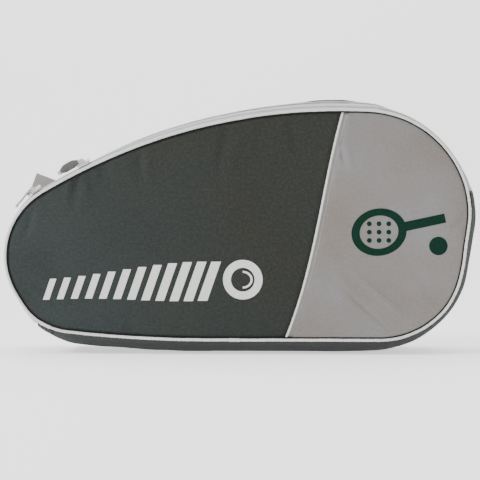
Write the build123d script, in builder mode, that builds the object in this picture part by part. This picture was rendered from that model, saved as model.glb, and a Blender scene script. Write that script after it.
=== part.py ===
from build123d import *
from math import atan, atan2, cos, degrees, dist, radians, sin, sqrt, tan
import os

# Padel paddle case: a soft padded bag standing on its long lower edge.
# X runs along the case with the wide end at +X, the front face looks along -Y,
# Z is up and z = 0 is the flat the case stands on.

# ---- overall sizes ----
case_length = 540.0          # over the bulging gusset
case_height = 285.0          # from the standing flat to the top of the gusset
case_depth = 150.0           # between the front and rear seams
gusset_crown = 19.0          # how far the gusset bulges beyond its seams
standing_flat_cut = 1.5      # depth pressed flat where the case stands

# ---- cloth, foam and trims ----
panel_fabric = 2.0
panel_foam = 3.0
lining_thickness = 1.0
gusset_wall = 3.0
piping_diameter = 3.8
piping_bite = 0.4            # how far the piping is drawn into the seam
divider_proud = 1.0          # how far the divider piping stands above the cloth
strip_width = 3.8            # raised piping along the divider
base_board_thickness = 2.4
base_board_length = 250.0
base_board_width = 96.0
base_board_rise = 3.0        # the board bridges the curve of the lower edge

# ---- zip ----
zip_from_front = 15.0        # zip centre line behind the front seam
zip_tape_width = 30.0        # both tapes together
zip_tape_thickness = 1.2
binding_width = 1.6          # raised seam between the rear tape and the gusset
end_tab_length = 16.0
end_tab_width = 13.0
end_tab_thickness = 1.5
coil_width = 5.0
coil_height = 2.4
slider_length = 15.0
slider_width = 9.5
slider_plate = 1.5
pin_diameter = 1.6
pin_height = 2.7             # pin centre above the slider plate
pin_wall = 0.6               # metal around the pin, in the lugs and in the eye
lug_thickness = 1.5
slider_a_from_bend = 36.0    # uphill from where the crest meets the narrow end
puller_length = 30.0
puller_width = 7.0
puller_thickness = 1.6
puller_dip_a = 2.5           # degrees a puller leans in towards the tape at rest
puller_dip_b = 4.0

# ---- straps ----
pad_width = 58.0
pad_thickness = 9.0
yoke_thickness = 2.5
webbing_width = 25.0
webbing_thickness = 1.8
lock_thickness = 4.0
lock_length = 27.0
lock_rim = 4.5               # beside the webbing
slot_play = 0.75             # beside the webbing inside a slot

# ---- hang loop ----
loop_width = 30.0
loop_length = 46.0
loop_fold = 9.0              # outside thickness of the folded loop
loop_lean = 150.0            # degrees it has dropped back from the outward direction
loop_from_bend = 58.0        # uphill from where the crest meets the narrow end
loop_inset = 6.0             # inside the rear seam

# ---- inside pocket ----
pocket_thickness = 1.4
pocket_hem = 6.0
hem_thickness = 0.8

# ---- fits ----
sew_gap = 0.3                # between parts that move past each other
slider_lift = 1.0            # a slider rides this far above the coil
pin_play = 0.3
touch_gap = 0.02             # between parts that are sewn tight together
lock_gap = 0.8               # under a ladder lock, clear of the webbing behind it

# ---- derived sizes ----
seam_length = case_length - 2 * gusset_crown
seam_height = case_height - 2 * gusset_crown + standing_flat_cut
seam_base = gusset_crown - standing_flat_cut
half_depth = case_depth / 2
panel_face = half_depth + panel_fabric
bow_radius = (half_depth**2 + gusset_crown**2) / (2 * gusset_crown)
bow_centre = gusset_crown - bow_radius
zip_line = -half_depth + zip_from_front
zip_back_edge = zip_line + zip_tape_width / 2
piping_radius = piping_diameter / 2
piping_out = piping_radius - piping_bite
piping_face = half_depth + piping_radius + touch_gap
seam_slant = 2 * atan(gusset_crown / half_depth)   # of the bowed gusset where it meets a side

# ---- side outline of the seam, as corners to be rounded ----
# Each corner is placed by its share of the seam length and of the seam height.
outline_corners = [
    (0.409, 0.000),
    (0.476, 0.268),
    (0.505, 0.632),
    (0.406, 0.978),
    (-0.083, 1.032),
    (-0.566, 0.481),
    (-0.432, 0.047),
    (-0.214, 0.000),
]
# How much of the edge that follows each corner its rounding may use; the rest
# belongs to the next corner.
edge_shares = [0.735, 0.590, 0.380, 0.250, 0.660, 0.638, 0.290, 0.300]
edge_use = 0.99


class Arc:
    """A rounded corner of the outline, run anticlockwise seen from the front."""

    def __init__(self, centre, radius, start, sweep):
        self.centre = centre
        self.radius = radius
        self.start = start
        self.sweep = sweep
        self.length = radius * radians(sweep)

    def part_of(self, first, last):
        turn = degrees(1 / self.radius)
        return Arc(self.centre, self.radius, self.start + first * turn, (last - first) * turn)

    def point(self, distance, out=0.0):
        angle = radians(self.start + degrees(distance / self.radius))
        reach = self.radius + out
        return (self.centre[0] + reach * cos(angle), self.centre[1] + reach * sin(angle))

    def plane(self):
        angle = radians(self.start)
        origin = (self.centre[0], 0, self.centre[1])
        return Plane(origin=origin, x_dir=(cos(angle), 0, sin(angle)), z_dir=(-sin(angle), 0, cos(angle)))

    def axis(self):
        return Axis((self.centre[0], 0, self.centre[1]), (0, -1, 0))


class Straight:
    """A straight run of the outline between two roundings."""

    def __init__(self, first, last):
        self.first = first
        self.last = last
        self.radius = 0.0
        self.length = dist(first, last)
        self.along = ((last[0] - first[0]) / self.length, (last[1] - first[1]) / self.length)
        self.out = (self.along[1], -self.along[0])

    def part_of(self, first, last):
        return Straight(self.point(first), self.point(last))

    def point(self, distance, out=0.0):
        x = self.first[0] + distance * self.along[0] + out * self.out[0]
        z = self.first[1] + distance * self.along[1] + out * self.out[1]
        return (x, z)

    def plane(self):
        origin = (self.first[0], 0, self.first[1])
        return Plane(
            origin=origin,
            x_dir=(self.out[0], 0, self.out[1]),
            z_dir=(self.along[0], 0, self.along[1]),
        )


def seam_outline():
    corners = [(x * seam_length, seam_base + z * seam_height) for x, z in outline_corners]
    count = len(corners)
    edges = [dist(corners[i], corners[(i + 1) % count]) for i in range(count)]
    reach = []
    for i in range(count):
        before = (1 - edge_shares[i - 1]) * edges[i - 1]
        after = edge_shares[i] * edges[i]
        reach.append(edge_use * min(before, after))
    runs = []
    for i in range(count):
        here = corners[i]
        back = corners[i - 1]
        ahead = corners[(i + 1) % count]
        heading_in = degrees(atan2(here[1] - back[1], here[0] - back[0]))
        heading_out = degrees(atan2(ahead[1] - here[1], ahead[0] - here[0]))
        turn = (heading_out - heading_in) % 360
        radius = reach[i] / tan(radians(turn / 2))
        start = heading_in - 90
        touch_x = here[0] - reach[i] * cos(radians(heading_in))
        touch_z = here[1] - reach[i] * sin(radians(heading_in))
        centre = (touch_x - radius * cos(radians(start)), touch_z - radius * sin(radians(start)))
        arc = Arc(centre, radius, start, turn)
        runs.append(arc)
        leave = arc.point(arc.length)
        next_x = ahead[0] - reach[(i + 1) % count] * cos(radians(heading_out))
        next_z = ahead[1] - reach[(i + 1) % count] * sin(radians(heading_out))
        runs.append(Straight(leave, (next_x, next_z)))
    return runs


seam = seam_outline()
top_arc = seam[8]
left_arc = seam[10]
seam_total = sum(run.length for run in seam)


def run_between(first, last):
    """The pieces of the outline from one distance along it to another."""
    pieces = []
    for lap in range(2):
        walked = lap * seam_total
        for run in seam:
            low = max(first - walked, 0.0)
            high = min(last - walked, run.length)
            if high - low > 0.001:
                pieces.append(run.part_of(low, high))
            walked += run.length
    return pieces


def distance_to(index, share):
    """Distance along the outline to a share of one of its runs."""
    return sum(run.length for run in seam[:index]) + share * seam[index].length


# The zip starts on the wide end and stops low on the narrow end.
zip_start = distance_to(4, 0.55)
zip_stop = distance_to(12, 0.40)
zip_run = run_between(zip_start, zip_stop)
lower_run = run_between(zip_stop, zip_start + seam_total)
whole_run = run_between(0.0, seam_total)
fold_right = zip_run[0].point(0.0)
fold_left = lower_run[0].point(0.0)
fold_tilt = degrees(atan2(fold_right[1] - fold_left[1], fold_right[0] - fold_left[0]))
fold_middle = ((fold_right[0] + fold_left[0]) / 2, (fold_right[1] + fold_left[1]) / 2)
flap_run = run_between(zip_start + sew_gap, zip_stop - sew_gap)

# Divider between the dark and the light cloth of the front.
divider_top = (0.2295 * seam_length, seam_base + 1.02 * seam_height)
divider_middle = (0.1655 * seam_length, seam_base + 0.465 * seam_height)
divider_foot = (0.095 * seam_length, seam_base - 0.02 * seam_height)


# ---- sections of the bands that run round the outline ----
def band(pieces, draw):
    with BuildPart() as whole:
        for piece in pieces:
            with BuildSketch(piece.plane()):
                draw(piece.radius)
            if piece.radius > 0:
                revolve(axis=piece.axis(), revolution_arc=piece.sweep)
            else:
                extrude(amount=piece.length)
    return whole.part


def shell_strip(front, back, thickness, lift=0.0):
    """Section of cloth bowed across the depth, between two depths."""

    def draw(radius):
        with Locations((radius + bow_centre, 0)):
            Circle(bow_radius + lift)
            Circle(bow_radius + lift - thickness, mode=Mode.SUBTRACT)
        with Locations((radius, (front + back) / 2)):
            Rectangle(3 * gusset_crown, back - front, mode=Mode.INTERSECT)

    return draw


def bow_at(depth):
    """How far the bowed gusset stands out of the seam at a given depth."""
    return bow_centre + sqrt(bow_radius**2 - depth**2)


def cord_section(depth, out, radius_of_cord):
    def draw(radius):
        with Locations((radius + out, depth)):
            Circle(radius_of_cord)

    return draw


# ---- sketches of the side panels, drawn in the plane of a side ----
def outline_face(inset):
    with BuildSketch(mode=Mode.PRIVATE) as face:
        with BuildLine():
            for run in seam:
                if run.radius > 0:
                    CenterArc(run.centre, run.radius - inset, run.start, run.sweep)
                else:
                    Line(run.point(0.0, -inset), run.point(run.length, -inset))
        make_face()
    return face.sketch


def beside_fold(side, gap):
    """Everything on one side of the fold line: side is 1 above and -1 below."""
    with BuildSketch(mode=Mode.PRIVATE) as half:
        with Locations(Location((fold_middle[0], fold_middle[1], 0), (0, 0, fold_tilt))):
            with Locations((0, side * (gap + case_length))):
                Rectangle(4 * case_length, 2 * case_length)
    return half.sketch


def beside_divider(shift):
    """Everything on the wide-end side of the divider moved by shift."""
    top = (divider_top[0] + shift, divider_top[1])
    middle = (divider_middle[0] + shift, divider_middle[1])
    foot = (divider_foot[0] + shift, divider_foot[1])
    with BuildSketch(mode=Mode.PRIVATE) as right:
        with BuildLine():
            ThreePointArc(top, middle, foot)
            Polyline(foot, (case_length, foot[1]), (case_length, top[1]), top)
        make_face()
    return right.sketch


def layer(sketch, first_depth, last_depth):
    """A flat layer between two depths; depths grow towards the rear."""
    with BuildPart() as slab:
        with BuildSketch(Plane.XZ.offset(-last_depth)):
            add(sketch)
        extrude(amount=last_depth - first_depth)
    return slab.part


foam_inset = (gusset_wall + lining_thickness) / cos(seam_slant) + sew_gap
front_cloth = outline_face(0.0)
front_inner = outline_face(foam_inset)
front_field = outline_face(2 * sew_gap)
half_strip = strip_width / 2
above = beside_fold(1, sew_gap / 2)
below = beside_fold(-1, sew_gap / 2)
light_side = beside_divider(half_strip)
not_dark = beside_divider(-half_strip)
foam_face = half_depth
lining_face = half_depth - panel_foam
inner_face = lining_face - lining_thickness


# ---- rear side ----
with BuildPart() as rear_panel:
    add(layer(front_cloth, half_depth, panel_face))

with BuildPart() as rear_foam:
    add(layer(front_inner, lining_face, foam_face))

with BuildPart() as rear_lining:
    add(layer(front_inner, inner_face, lining_face))

with BuildPart() as rear_piping:
    add(band(whole_run, cord_section(piping_face, piping_out, piping_radius)))
    add(rear_panel.part, mode=Mode.SUBTRACT)

# ---- gusset behind the zip and round the bottom ----
with BuildPart() as top_gusset:
    add(band(zip_run, shell_strip(zip_back_edge + binding_width, half_depth, gusset_wall)))

with BuildPart() as top_gusset_lining:
    start = zip_back_edge + binding_width
    lift = -gusset_wall
    add(band(zip_run, shell_strip(start, half_depth, lining_thickness, lift)))

with BuildPart() as bottom_gusset:
    add(band(lower_run, shell_strip(-half_depth, half_depth, gusset_wall)))
    ground = (Align.CENTER, Align.CENTER, Align.MAX)
    Box(2 * case_length, case_depth, gusset_crown, align=ground, mode=Mode.SUBTRACT)

with BuildPart() as bottom_gusset_lining:
    add(band(lower_run, shell_strip(-half_depth, half_depth, lining_thickness, -gusset_wall)))

with BuildPart() as base_board:
    board_underside = seam_base - bow_at(base_board_width / 2) + foam_inset + base_board_rise
    board_middle = 0.03 * seam_length
    with BuildSketch(Plane.XY.offset(board_underside)):
        with Locations((board_middle, 0)):
            RectangleRounded(base_board_length, base_board_width, base_board_width / 6)
    extrude(amount=base_board_thickness)

# ---- zip ----
coil_half = coil_width / 2
coil_lift = coil_height - zip_tape_thickness
coil_front_edge = zip_line - coil_half
coil_back_edge = zip_line + coil_half

with BuildPart() as zip_tape_front:
    add(band(flap_run, shell_strip(-half_depth, coil_front_edge, zip_tape_thickness)))
    add(layer(above, -case_depth, 0), mode=Mode.INTERSECT)

with BuildPart() as zip_coil_front:
    front_edge = zip_line - sew_gap / 2
    add(band(flap_run, shell_strip(coil_front_edge, front_edge, coil_height, coil_lift)))
    add(layer(above, -case_depth, 0), mode=Mode.INTERSECT)

with BuildPart() as zip_coil_rear:
    add(band(zip_run, shell_strip(zip_line + sew_gap / 2, coil_back_edge, coil_height, coil_lift)))

with BuildPart() as zip_tape_rear:
    add(band(zip_run, shell_strip(coil_back_edge, zip_back_edge, zip_tape_thickness)))

with BuildPart() as zip_seam_binding:
    back = zip_back_edge + binding_width
    add(band(zip_run, shell_strip(zip_back_edge, back, gusset_wall, binding_width / 2)))

# ---- lower front, sewn to the gusset ----
with BuildPart() as front_lower_dark:
    add(layer(front_cloth & below - not_dark, -panel_face, -half_depth))

with BuildPart() as front_lower_light:
    add(layer(front_cloth & below & light_side, -panel_face, -half_depth))

with BuildPart() as divider_piping_lower:
    add(layer(front_field & below & not_dark - light_side, -panel_face - divider_proud, -half_depth))

with BuildPart() as front_lower_foam:
    add(layer(front_inner & below, -foam_face, -lining_face))

with BuildPart() as front_lower_lining:
    add(layer(front_inner & below, -lining_face, -inner_face))

with BuildPart() as front_piping_lower:
    add(band(lower_run, cord_section(-piping_face, piping_out, piping_radius)))
    add(layer(front_cloth, -panel_face, -half_depth), mode=Mode.SUBTRACT)

# ---- upper front, opened by the zip ----
with BuildPart() as front_upper_dark:
    add(layer(front_cloth & above - not_dark, -panel_face, -half_depth))

with BuildPart() as front_upper_light:
    add(layer(front_cloth & above & light_side, -panel_face, -half_depth))

with BuildPart() as divider_piping_upper:
    add(layer(front_field & above & not_dark - light_side, -panel_face - divider_proud, -half_depth))

with BuildPart() as front_upper_foam:
    add(layer(front_inner & above, -foam_face, -lining_face))

with BuildPart() as front_upper_lining:
    add(layer(front_inner & above, -lining_face, -inner_face))

with BuildPart() as front_piping_upper:
    add(band(flap_run, cord_section(-piping_face, piping_out, piping_radius)))
    add(layer(front_cloth, -panel_face, -half_depth), mode=Mode.SUBTRACT)
    add(layer(above, -case_depth, 0), mode=Mode.INTERSECT)


# ---- zip end tabs, sewn over the ends of the zip ----
def end_tab(pieces):
    front = zip_line - end_tab_width / 2
    back = zip_line + end_tab_width / 2
    return band(pieces, shell_strip(front, back, end_tab_thickness, end_tab_thickness))


with BuildPart() as zip_end_tab_right:
    add(end_tab(run_between(zip_start + seam_total - end_tab_length, zip_start + seam_total)))

with BuildPart() as zip_end_tab_left:
    add(end_tab(run_between(zip_stop, zip_stop + end_tab_length)))

# ---- sliders and pullers ----
slider_a_at = top_arc.length - slider_a_from_bend
slider_b_at = slider_length * 0.6
plate_lift = coil_lift + slider_lift + slider_plate
pin_out = bow_at(zip_line) + plate_lift + pin_height
eye_radius = pin_diameter / 2 + pin_play + pin_wall
eye_width = puller_width / 2
lug_centre = eye_width / 2 + pin_play + lug_thickness / 2


def pin_point(arc, distance):
    x, z = arc.point(distance, pin_out)
    return (x, zip_line, z)


def slider(arc, distance):
    front = zip_line - slider_width / 2
    back = zip_line + slider_width / 2
    plate = arc.part_of(distance - slider_length / 2, distance + slider_length / 2)
    with BuildPart() as body:
        add(band([plate], shell_strip(front, back, slider_plate, plate_lift)))
        with BuildSketch(arc.part_of(distance, distance + 1).plane()) as lugs:
            for side in (-1, 1):
                foot = bow_at(zip_line + side * lug_centre) + plate_lift - slider_plate / 2
                top = pin_out + pin_diameter / 2 + pin_wall
                with Locations((arc.radius + (foot + top) / 2, zip_line + side * lug_centre)):
                    Rectangle(top - foot, lug_thickness)
        extrude(amount=pin_diameter, both=True)
        with BuildSketch(Plane(origin=pin_point(arc, distance), z_dir=(0, 1, 0))):
            Circle(pin_diameter / 2)
        extrude(amount=lug_centre, both=True)
    return body.part


def puller(arc, distance, dip):
    """A flat pull that lies downhill along the zip from its pin, leaning in by dip degrees."""
    here = arc.part_of(distance, distance + 1).plane()
    along = here.z_dir * cos(radians(dip)) - here.x_dir * sin(radians(dip))
    side_view = Plane(origin=pin_point(arc, distance), x_dir=along, z_dir=(0, 1, 0))
    flat_view = Plane(origin=pin_point(arc, distance), x_dir=along, z_dir=along.cross(Vector(0, 1, 0)))
    neck = eye_radius + pin_diameter / 2 + 2 * pin_wall
    with BuildPart() as pull:
        with BuildSketch(side_view):
            Circle(eye_radius)
            with Locations((neck / 2, 0)):
                Rectangle(neck, puller_thickness)
        extrude(amount=eye_width / 2, both=True)
        with BuildSketch(flat_view):
            with Locations(((neck + puller_length) / 2, 0)):
                RectangleRounded(puller_length - neck, puller_width, puller_width / 4)
            with Locations((puller_length - puller_width * 0.7, 0)):
                Circle(puller_width / 5, mode=Mode.SUBTRACT)
        extrude(amount=puller_thickness / 2, both=True)
        with BuildSketch(side_view):
            Circle(pin_diameter / 2 + pin_play)
        extrude(amount=puller_width, both=True, mode=Mode.SUBTRACT)
    return pull.part


with BuildPart() as zip_slider_a:
    add(slider(top_arc, slider_a_at))

with BuildPart() as zip_slider_b:
    add(slider(left_arc, slider_b_at))

with BuildPart() as zip_puller_a:
    add(puller(top_arc, slider_a_at, puller_dip_a))

with BuildPart() as zip_puller_b:
    add(puller(left_arc, slider_b_at, puller_dip_b))

# ---- inside pocket on the rear lining ----
pocket_edge = seam_base + 0.55 * seam_height
pocket_left = -0.34 * seam_length
pocket_right = 0.30 * seam_length
pocket_room = outline_face(foam_inset + pocket_hem)


def pocket_area(low, high):
    with BuildSketch(mode=Mode.PRIVATE) as area:
        with Locations(((pocket_left + pocket_right) / 2, (low + high) / 2)):
            Rectangle(pocket_right - pocket_left, high - low)
    return pocket_room & area.sketch


with BuildPart() as inner_pocket:
    add(layer(pocket_area(0, pocket_edge), inner_face - pocket_thickness, inner_face))

with BuildPart() as inner_pocket_binding:
    back = inner_face - pocket_thickness
    add(layer(pocket_area(pocket_edge - pocket_hem, pocket_edge), back - hem_thickness, back))

# ---- straps on the rear ----
strap_middle = seam_base + 0.50 * seam_height
strap_spread = 0.145 * seam_height
lock_spread = 0.09 * seam_height
strap_root = 0.36 * seam_length
pad_end = -0.10 * seam_length
lock_place = -0.335 * seam_length
tail_end = -0.512 * seam_length
pad_face = panel_face + yoke_thickness
lock_face = panel_face + webbing_thickness + lock_gap
tail_face = lock_face + lock_thickness


def rear_slab(sketch, face, thickness):
    return layer(sketch, face, face + thickness)


def strip_along(points, width):
    """A flat strip of webbing laid along a few points."""
    with BuildSketch(mode=Mode.PRIVATE) as strip:
        for first, last in zip(points[:-1], points[1:]):
            turn = degrees(atan2(last[1] - first[1], last[0] - first[0]))
            middle = ((first[0] + last[0]) / 2, (first[1] + last[1]) / 2, 0)
            with Locations(Location(middle, (0, 0, turn))):
                Rectangle(dist(first, last), width)
        for joint in points[1:-1]:
            with Locations(joint):
                Circle(width / 2)
    return strip.sketch


def pad(side):
    root = (strap_root, strap_middle + side * strap_spread)
    crest = (0.12 * seam_length, strap_middle + side * 1.45 * strap_spread)
    tip = (pad_end, strap_middle + side * strap_spread)
    with BuildSketch(mode=Mode.PRIVATE) as outline:
        with BuildLine(mode=Mode.PRIVATE) as path:
            ThreePointArc(root, crest, tip)
        SlotArc(path.edge(), pad_width)
    with BuildPart() as cushion:
        add(rear_slab(outline.sketch, pad_face, pad_thickness))
        fillet(cushion.faces().sort_by(Axis.Y)[-1].edges(), pad_thickness / 3)
    return cushion.part


def webbing(side, tip):
    start = (pad_end - pad_width / 3, strap_middle + side * strap_spread)
    lock = (lock_place, strap_middle + side * lock_spread)
    return rear_slab(strip_along([start, lock, tip], webbing_width), tail_face, webbing_thickness)


def ladder_lock(side):
    centre = (lock_place, strap_middle + side * lock_spread)
    slot = lock_length / 4
    with BuildPart() as lock:
        with BuildSketch(Plane.XZ.offset(-lock_face - lock_thickness)):
            with Locations(centre):
                RectangleRounded(lock_length, webbing_width + 2 * lock_rim, lock_rim * 0.66)
            for shift in (-1, 1):
                with Locations((centre[0] + shift * lock_length / 5, centre[1])):
                    Rectangle(slot, webbing_width + 2 * slot_play, mode=Mode.SUBTRACT)
        extrude(amount=lock_thickness)
    return lock.part


def anchor(side):
    start = (lock_place - lock_length / 8, strap_middle + side * lock_spread)
    end = (-0.415 * seam_length, strap_middle + side * 0.075 * seam_height)
    return rear_slab(strip_along([start, end], webbing_width), panel_face, webbing_thickness)


with BuildPart() as strap_yoke:
    with BuildSketch(Plane.XZ.offset(-pad_face)):
        with Locations((strap_root + pad_width / 6, strap_middle)):
            RectangleRounded(pad_width, 2 * strap_spread + pad_width, pad_width / 6)
    extrude(amount=yoke_thickness)

with BuildPart() as strap_pad_upper:
    add(pad(1))

with BuildPart() as strap_pad_lower:
    add(pad(-1))

with BuildPart() as strap_webbing_upper:
    add(webbing(1, (tail_end, strap_middle + 0.222 * seam_height)))
    add(strap_pad_upper.part, mode=Mode.SUBTRACT)

with BuildPart() as strap_webbing_lower:
    add(webbing(-1, (-0.41 * seam_length, strap_middle - 0.14 * seam_height)))
    add(strap_pad_lower.part, mode=Mode.SUBTRACT)

with BuildPart() as ladder_lock_upper:
    add(ladder_lock(1))

with BuildPart() as ladder_lock_lower:
    add(ladder_lock(-1))

with BuildPart() as strap_anchor_upper:
    add(anchor(1))

with BuildPart() as strap_anchor_lower:
    add(anchor(-1))

# ---- hang loop at the rear seam of the narrow end ----
loop_axis_depth = panel_face + webbing_thickness + sew_gap + loop_fold / 2
loop_place = top_arc.length - loop_from_bend
loop_plane = top_arc.part_of(loop_place, top_arc.length).plane()

with BuildPart() as hang_loop:
    with BuildSketch(loop_plane):
        with Locations(Location((top_arc.radius - loop_inset, loop_axis_depth, 0), (0, 0, loop_lean))):
            with Locations((loop_length / 2 - loop_fold / 2, 0)):
                SlotOverall(loop_length, loop_fold)
                SlotOverall(loop_length - 2 * webbing_thickness, loop_fold - 2 * webbing_thickness, mode=Mode.SUBTRACT)
    extrude(amount=loop_width / 2, both=True)

with BuildPart() as hang_loop_patch:
    with BuildSketch(loop_plane):
        with Locations((top_arc.radius - loop_inset - loop_fold / 4, panel_face + webbing_thickness / 2)):
            Rectangle(loop_fold, webbing_thickness)
    extrude(amount=loop_width / 2, both=True)


pieces = {
    "rear_panel": rear_panel,
    "rear_foam": rear_foam,
    "rear_lining": rear_lining,
    "rear_piping": rear_piping,
    "top_gusset": top_gusset,
    "top_gusset_lining": top_gusset_lining,
    "bottom_gusset": bottom_gusset,
    "bottom_gusset_lining": bottom_gusset_lining,
    "base_board": base_board,
    "zip_tape_front": zip_tape_front,
    "zip_coil_front": zip_coil_front,
    "zip_coil_rear": zip_coil_rear,
    "zip_tape_rear": zip_tape_rear,
    "zip_seam_binding": zip_seam_binding,
    "front_lower_dark": front_lower_dark,
    "front_lower_light": front_lower_light,
    "divider_piping_lower": divider_piping_lower,
    "front_lower_foam": front_lower_foam,
    "front_lower_lining": front_lower_lining,
    "front_piping_lower": front_piping_lower,
    "front_upper_dark": front_upper_dark,
    "front_upper_light": front_upper_light,
    "divider_piping_upper": divider_piping_upper,
    "front_upper_foam": front_upper_foam,
    "front_upper_lining": front_upper_lining,
    "front_piping_upper": front_piping_upper,
    "zip_end_tab_right": zip_end_tab_right,
    "zip_end_tab_left": zip_end_tab_left,
    "zip_slider_a": zip_slider_a,
    "zip_slider_b": zip_slider_b,
    "zip_puller_a": zip_puller_a,
    "zip_puller_b": zip_puller_b,
    "inner_pocket": inner_pocket,
    "inner_pocket_binding": inner_pocket_binding,
    "strap_yoke": strap_yoke,
    "strap_pad_upper": strap_pad_upper,
    "strap_pad_lower": strap_pad_lower,
    "strap_webbing_upper": strap_webbing_upper,
    "strap_webbing_lower": strap_webbing_lower,
    "ladder_lock_upper": ladder_lock_upper,
    "ladder_lock_lower": ladder_lock_lower,
    "strap_anchor_upper": strap_anchor_upper,
    "strap_anchor_lower": strap_anchor_lower,
    "hang_loop": hang_loop,
    "hang_loop_patch": hang_loop_patch,
}

os.makedirs("parts", exist_ok=True)
for name, piece in pieces.items():
    piece.part.label = name
    export_step(piece.part, f"parts/{name}.step")
    print(name, len(piece.part.solids()), round(piece.part.volume))
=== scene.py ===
from math import atan2, cos, dist, exp, pi, radians, sin, sqrt, tan

import bpy
import numpy as np
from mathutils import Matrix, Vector, noise
from mathutils.bvhtree import BVHTree


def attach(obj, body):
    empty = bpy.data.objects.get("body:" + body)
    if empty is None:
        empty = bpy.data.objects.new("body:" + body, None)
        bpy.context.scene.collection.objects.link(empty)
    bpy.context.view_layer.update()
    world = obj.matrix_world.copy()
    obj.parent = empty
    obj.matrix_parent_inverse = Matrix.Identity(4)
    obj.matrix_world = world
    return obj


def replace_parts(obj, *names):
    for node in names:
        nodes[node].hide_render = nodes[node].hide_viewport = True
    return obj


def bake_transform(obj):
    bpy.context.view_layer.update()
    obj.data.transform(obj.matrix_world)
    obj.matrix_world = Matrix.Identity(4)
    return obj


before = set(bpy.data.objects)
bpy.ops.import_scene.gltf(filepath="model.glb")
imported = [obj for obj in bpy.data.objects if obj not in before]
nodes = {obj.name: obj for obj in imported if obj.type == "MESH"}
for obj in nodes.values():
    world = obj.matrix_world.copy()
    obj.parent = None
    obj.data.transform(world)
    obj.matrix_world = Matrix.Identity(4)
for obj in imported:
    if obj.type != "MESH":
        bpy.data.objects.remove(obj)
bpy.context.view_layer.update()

MM = 0.001

# ---------------------------------------------------------------- outline
# All shapes below are worked out in millimetres and scaled when a mesh is made.
SEAM_L, SEAM_H = 502.0, 248.5  # length and height of the side seams' outline
BASE = 17.5  # height of the outline's flat lower run
HALF = 75.0  # half the depth between the two side seams
CROWN = 19.0  # how far the plain gusset bows out half way between the seams
BOW = (HALF**2 + CROWN**2) / (2 * CROWN)  # radius of that bow
ARC_LIMIT = 0.99  # leaves a sliver of straight edge between two arcs
# Corners of the outline as shares of its length and height. A corner's arc takes its share of the edge
# after it, and what the corner before leaves of the edge before it.
CORNERS = [(0.409, 0.0), (0.476, 0.268), (0.505, 0.632), (0.406, 0.978),
           (-0.083, 1.032), (-0.566, 0.481), (-0.432, 0.047), (-0.214, 0.0)]
SHARES = [0.735, 0.590, 0.380, 0.250, 0.660, 0.638, 0.290, 0.300]


def seam_runs():
    """Arcs as (kind, centre, radius, first angle, sweep, length), each followed by a line as
    (kind, start, end, heading, 0, length)."""
    c = [(x * SEAM_L, BASE + z * SEAM_H) for x, z in CORNERS]
    n = len(c)
    edge = [dist(c[i], c[(i + 1) % n]) for i in range(n)]
    reach = [ARC_LIMIT * min((1 - SHARES[i - 1]) * edge[i - 1], SHARES[i] * edge[i]) for i in range(n)]
    runs = []
    for i in range(n):
        a, b, d = c[i - 1], c[i], c[(i + 1) % n]
        hin = atan2(b[1] - a[1], b[0] - a[0])
        hout = atan2(d[1] - b[1], d[0] - b[0])
        turn = (hout - hin) % (2 * pi)
        r = reach[i] / tan(turn / 2)
        start = hin - pi / 2
        p = (b[0] - reach[i] * cos(hin), b[1] - reach[i] * sin(hin))
        cen = (p[0] - r * cos(start), p[1] - r * sin(start))
        runs.append(("arc", cen, r, start, turn, r * turn))
        leave = (cen[0] + r * cos(start + turn), cen[1] + r * sin(start + turn))
        k = (i + 1) % n
        nxt = (d[0] - reach[k] * cos(hout), d[1] - reach[k] * sin(hout))
        runs.append(("line", leave, nxt, hout, 0.0, dist(leave, nxt)))
    return runs


RUNS = seam_runs()
TOTAL = sum(r[5] for r in RUNS)


def seam_at(s):
    """Point and outward direction at distance s along the seam."""
    s %= TOTAL
    for kind, a, b, c, turn, length in RUNS:
        if s <= length:
            if kind == "arc":
                ang = c + s / b
                return a[0] + b * cos(ang), a[1] + b * sin(ang), cos(ang), sin(ang)
            return a[0] + s * cos(c), a[1] + s * sin(c), sin(c), -cos(c)
        s -= length
    return seam_at(0.0)


def distance_to(index, share=0.0):
    """Distance along the seam to a share of one of its runs."""
    return sum(r[5] for r in RUNS[:index]) + share * RUNS[index][5]


# The zip runs over the top from the wide end to the narrow one. The flap folds on the line between them.
ZIP_START = distance_to(4, 0.55)
ZIP_STOP = distance_to(12, 0.40)
FOLD_R = seam_at(ZIP_START)
FOLD_L = seam_at(ZIP_STOP)


def bow_at(y):
    """How far the plain gusset stands out of the seams at depth y."""
    return CROWN - BOW + sqrt(max(BOW**2 - y**2, 0.0))


# How the stuffed case differs from the plain bow at places round the outline:
# (run, share of the run, most the gusset stands out, how far the front seam is pushed out).
STUFFING = [
    (0, 0.05, 19.0, 0.0), (0, 0.5, 13.0, 1.2), (1, 0.5, 12.5, 2.8), (2, 0.4, 14.0, 1.6),
    (3, 0.5, 16.5, 0.0),
    (4, 0.30, 15.0, 0.0), (4, 0.75, 7.5, 0.0), (5, 0.5, 5.6, 0.0), (6, 0.35, 5.6, 0.0), (6, 0.85, 9.0, 0.0),
    (8, 0.02, 20.0, 0.0), (8, 0.16, 22.0, 0.0), (8, 0.40, 15.0, 0.0), (8, 0.70, 12.0, 0.0), (8, 0.90, 8.0, 0.0),
    (10, 0.25, 6.3, 0.3), (10, 0.70, 4.8, 1.6), (11, 0.5, 4.6, 2.4), (12, 0.30, 6.0, 2.0),
    (12, 0.60, 13.0, 0.5),
    (13, 0.2, 24.0, 0.0), (14, 0.2, 30.0, 0.0), (15, 0.95, 26.0, 0.0),
]
SAMPLES = 900
EVEN = np.arange(SAMPLES) * TOTAL / SAMPLES
PLACES = [distance_to(run, share) for run, share, *_ in STUFFING]


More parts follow.
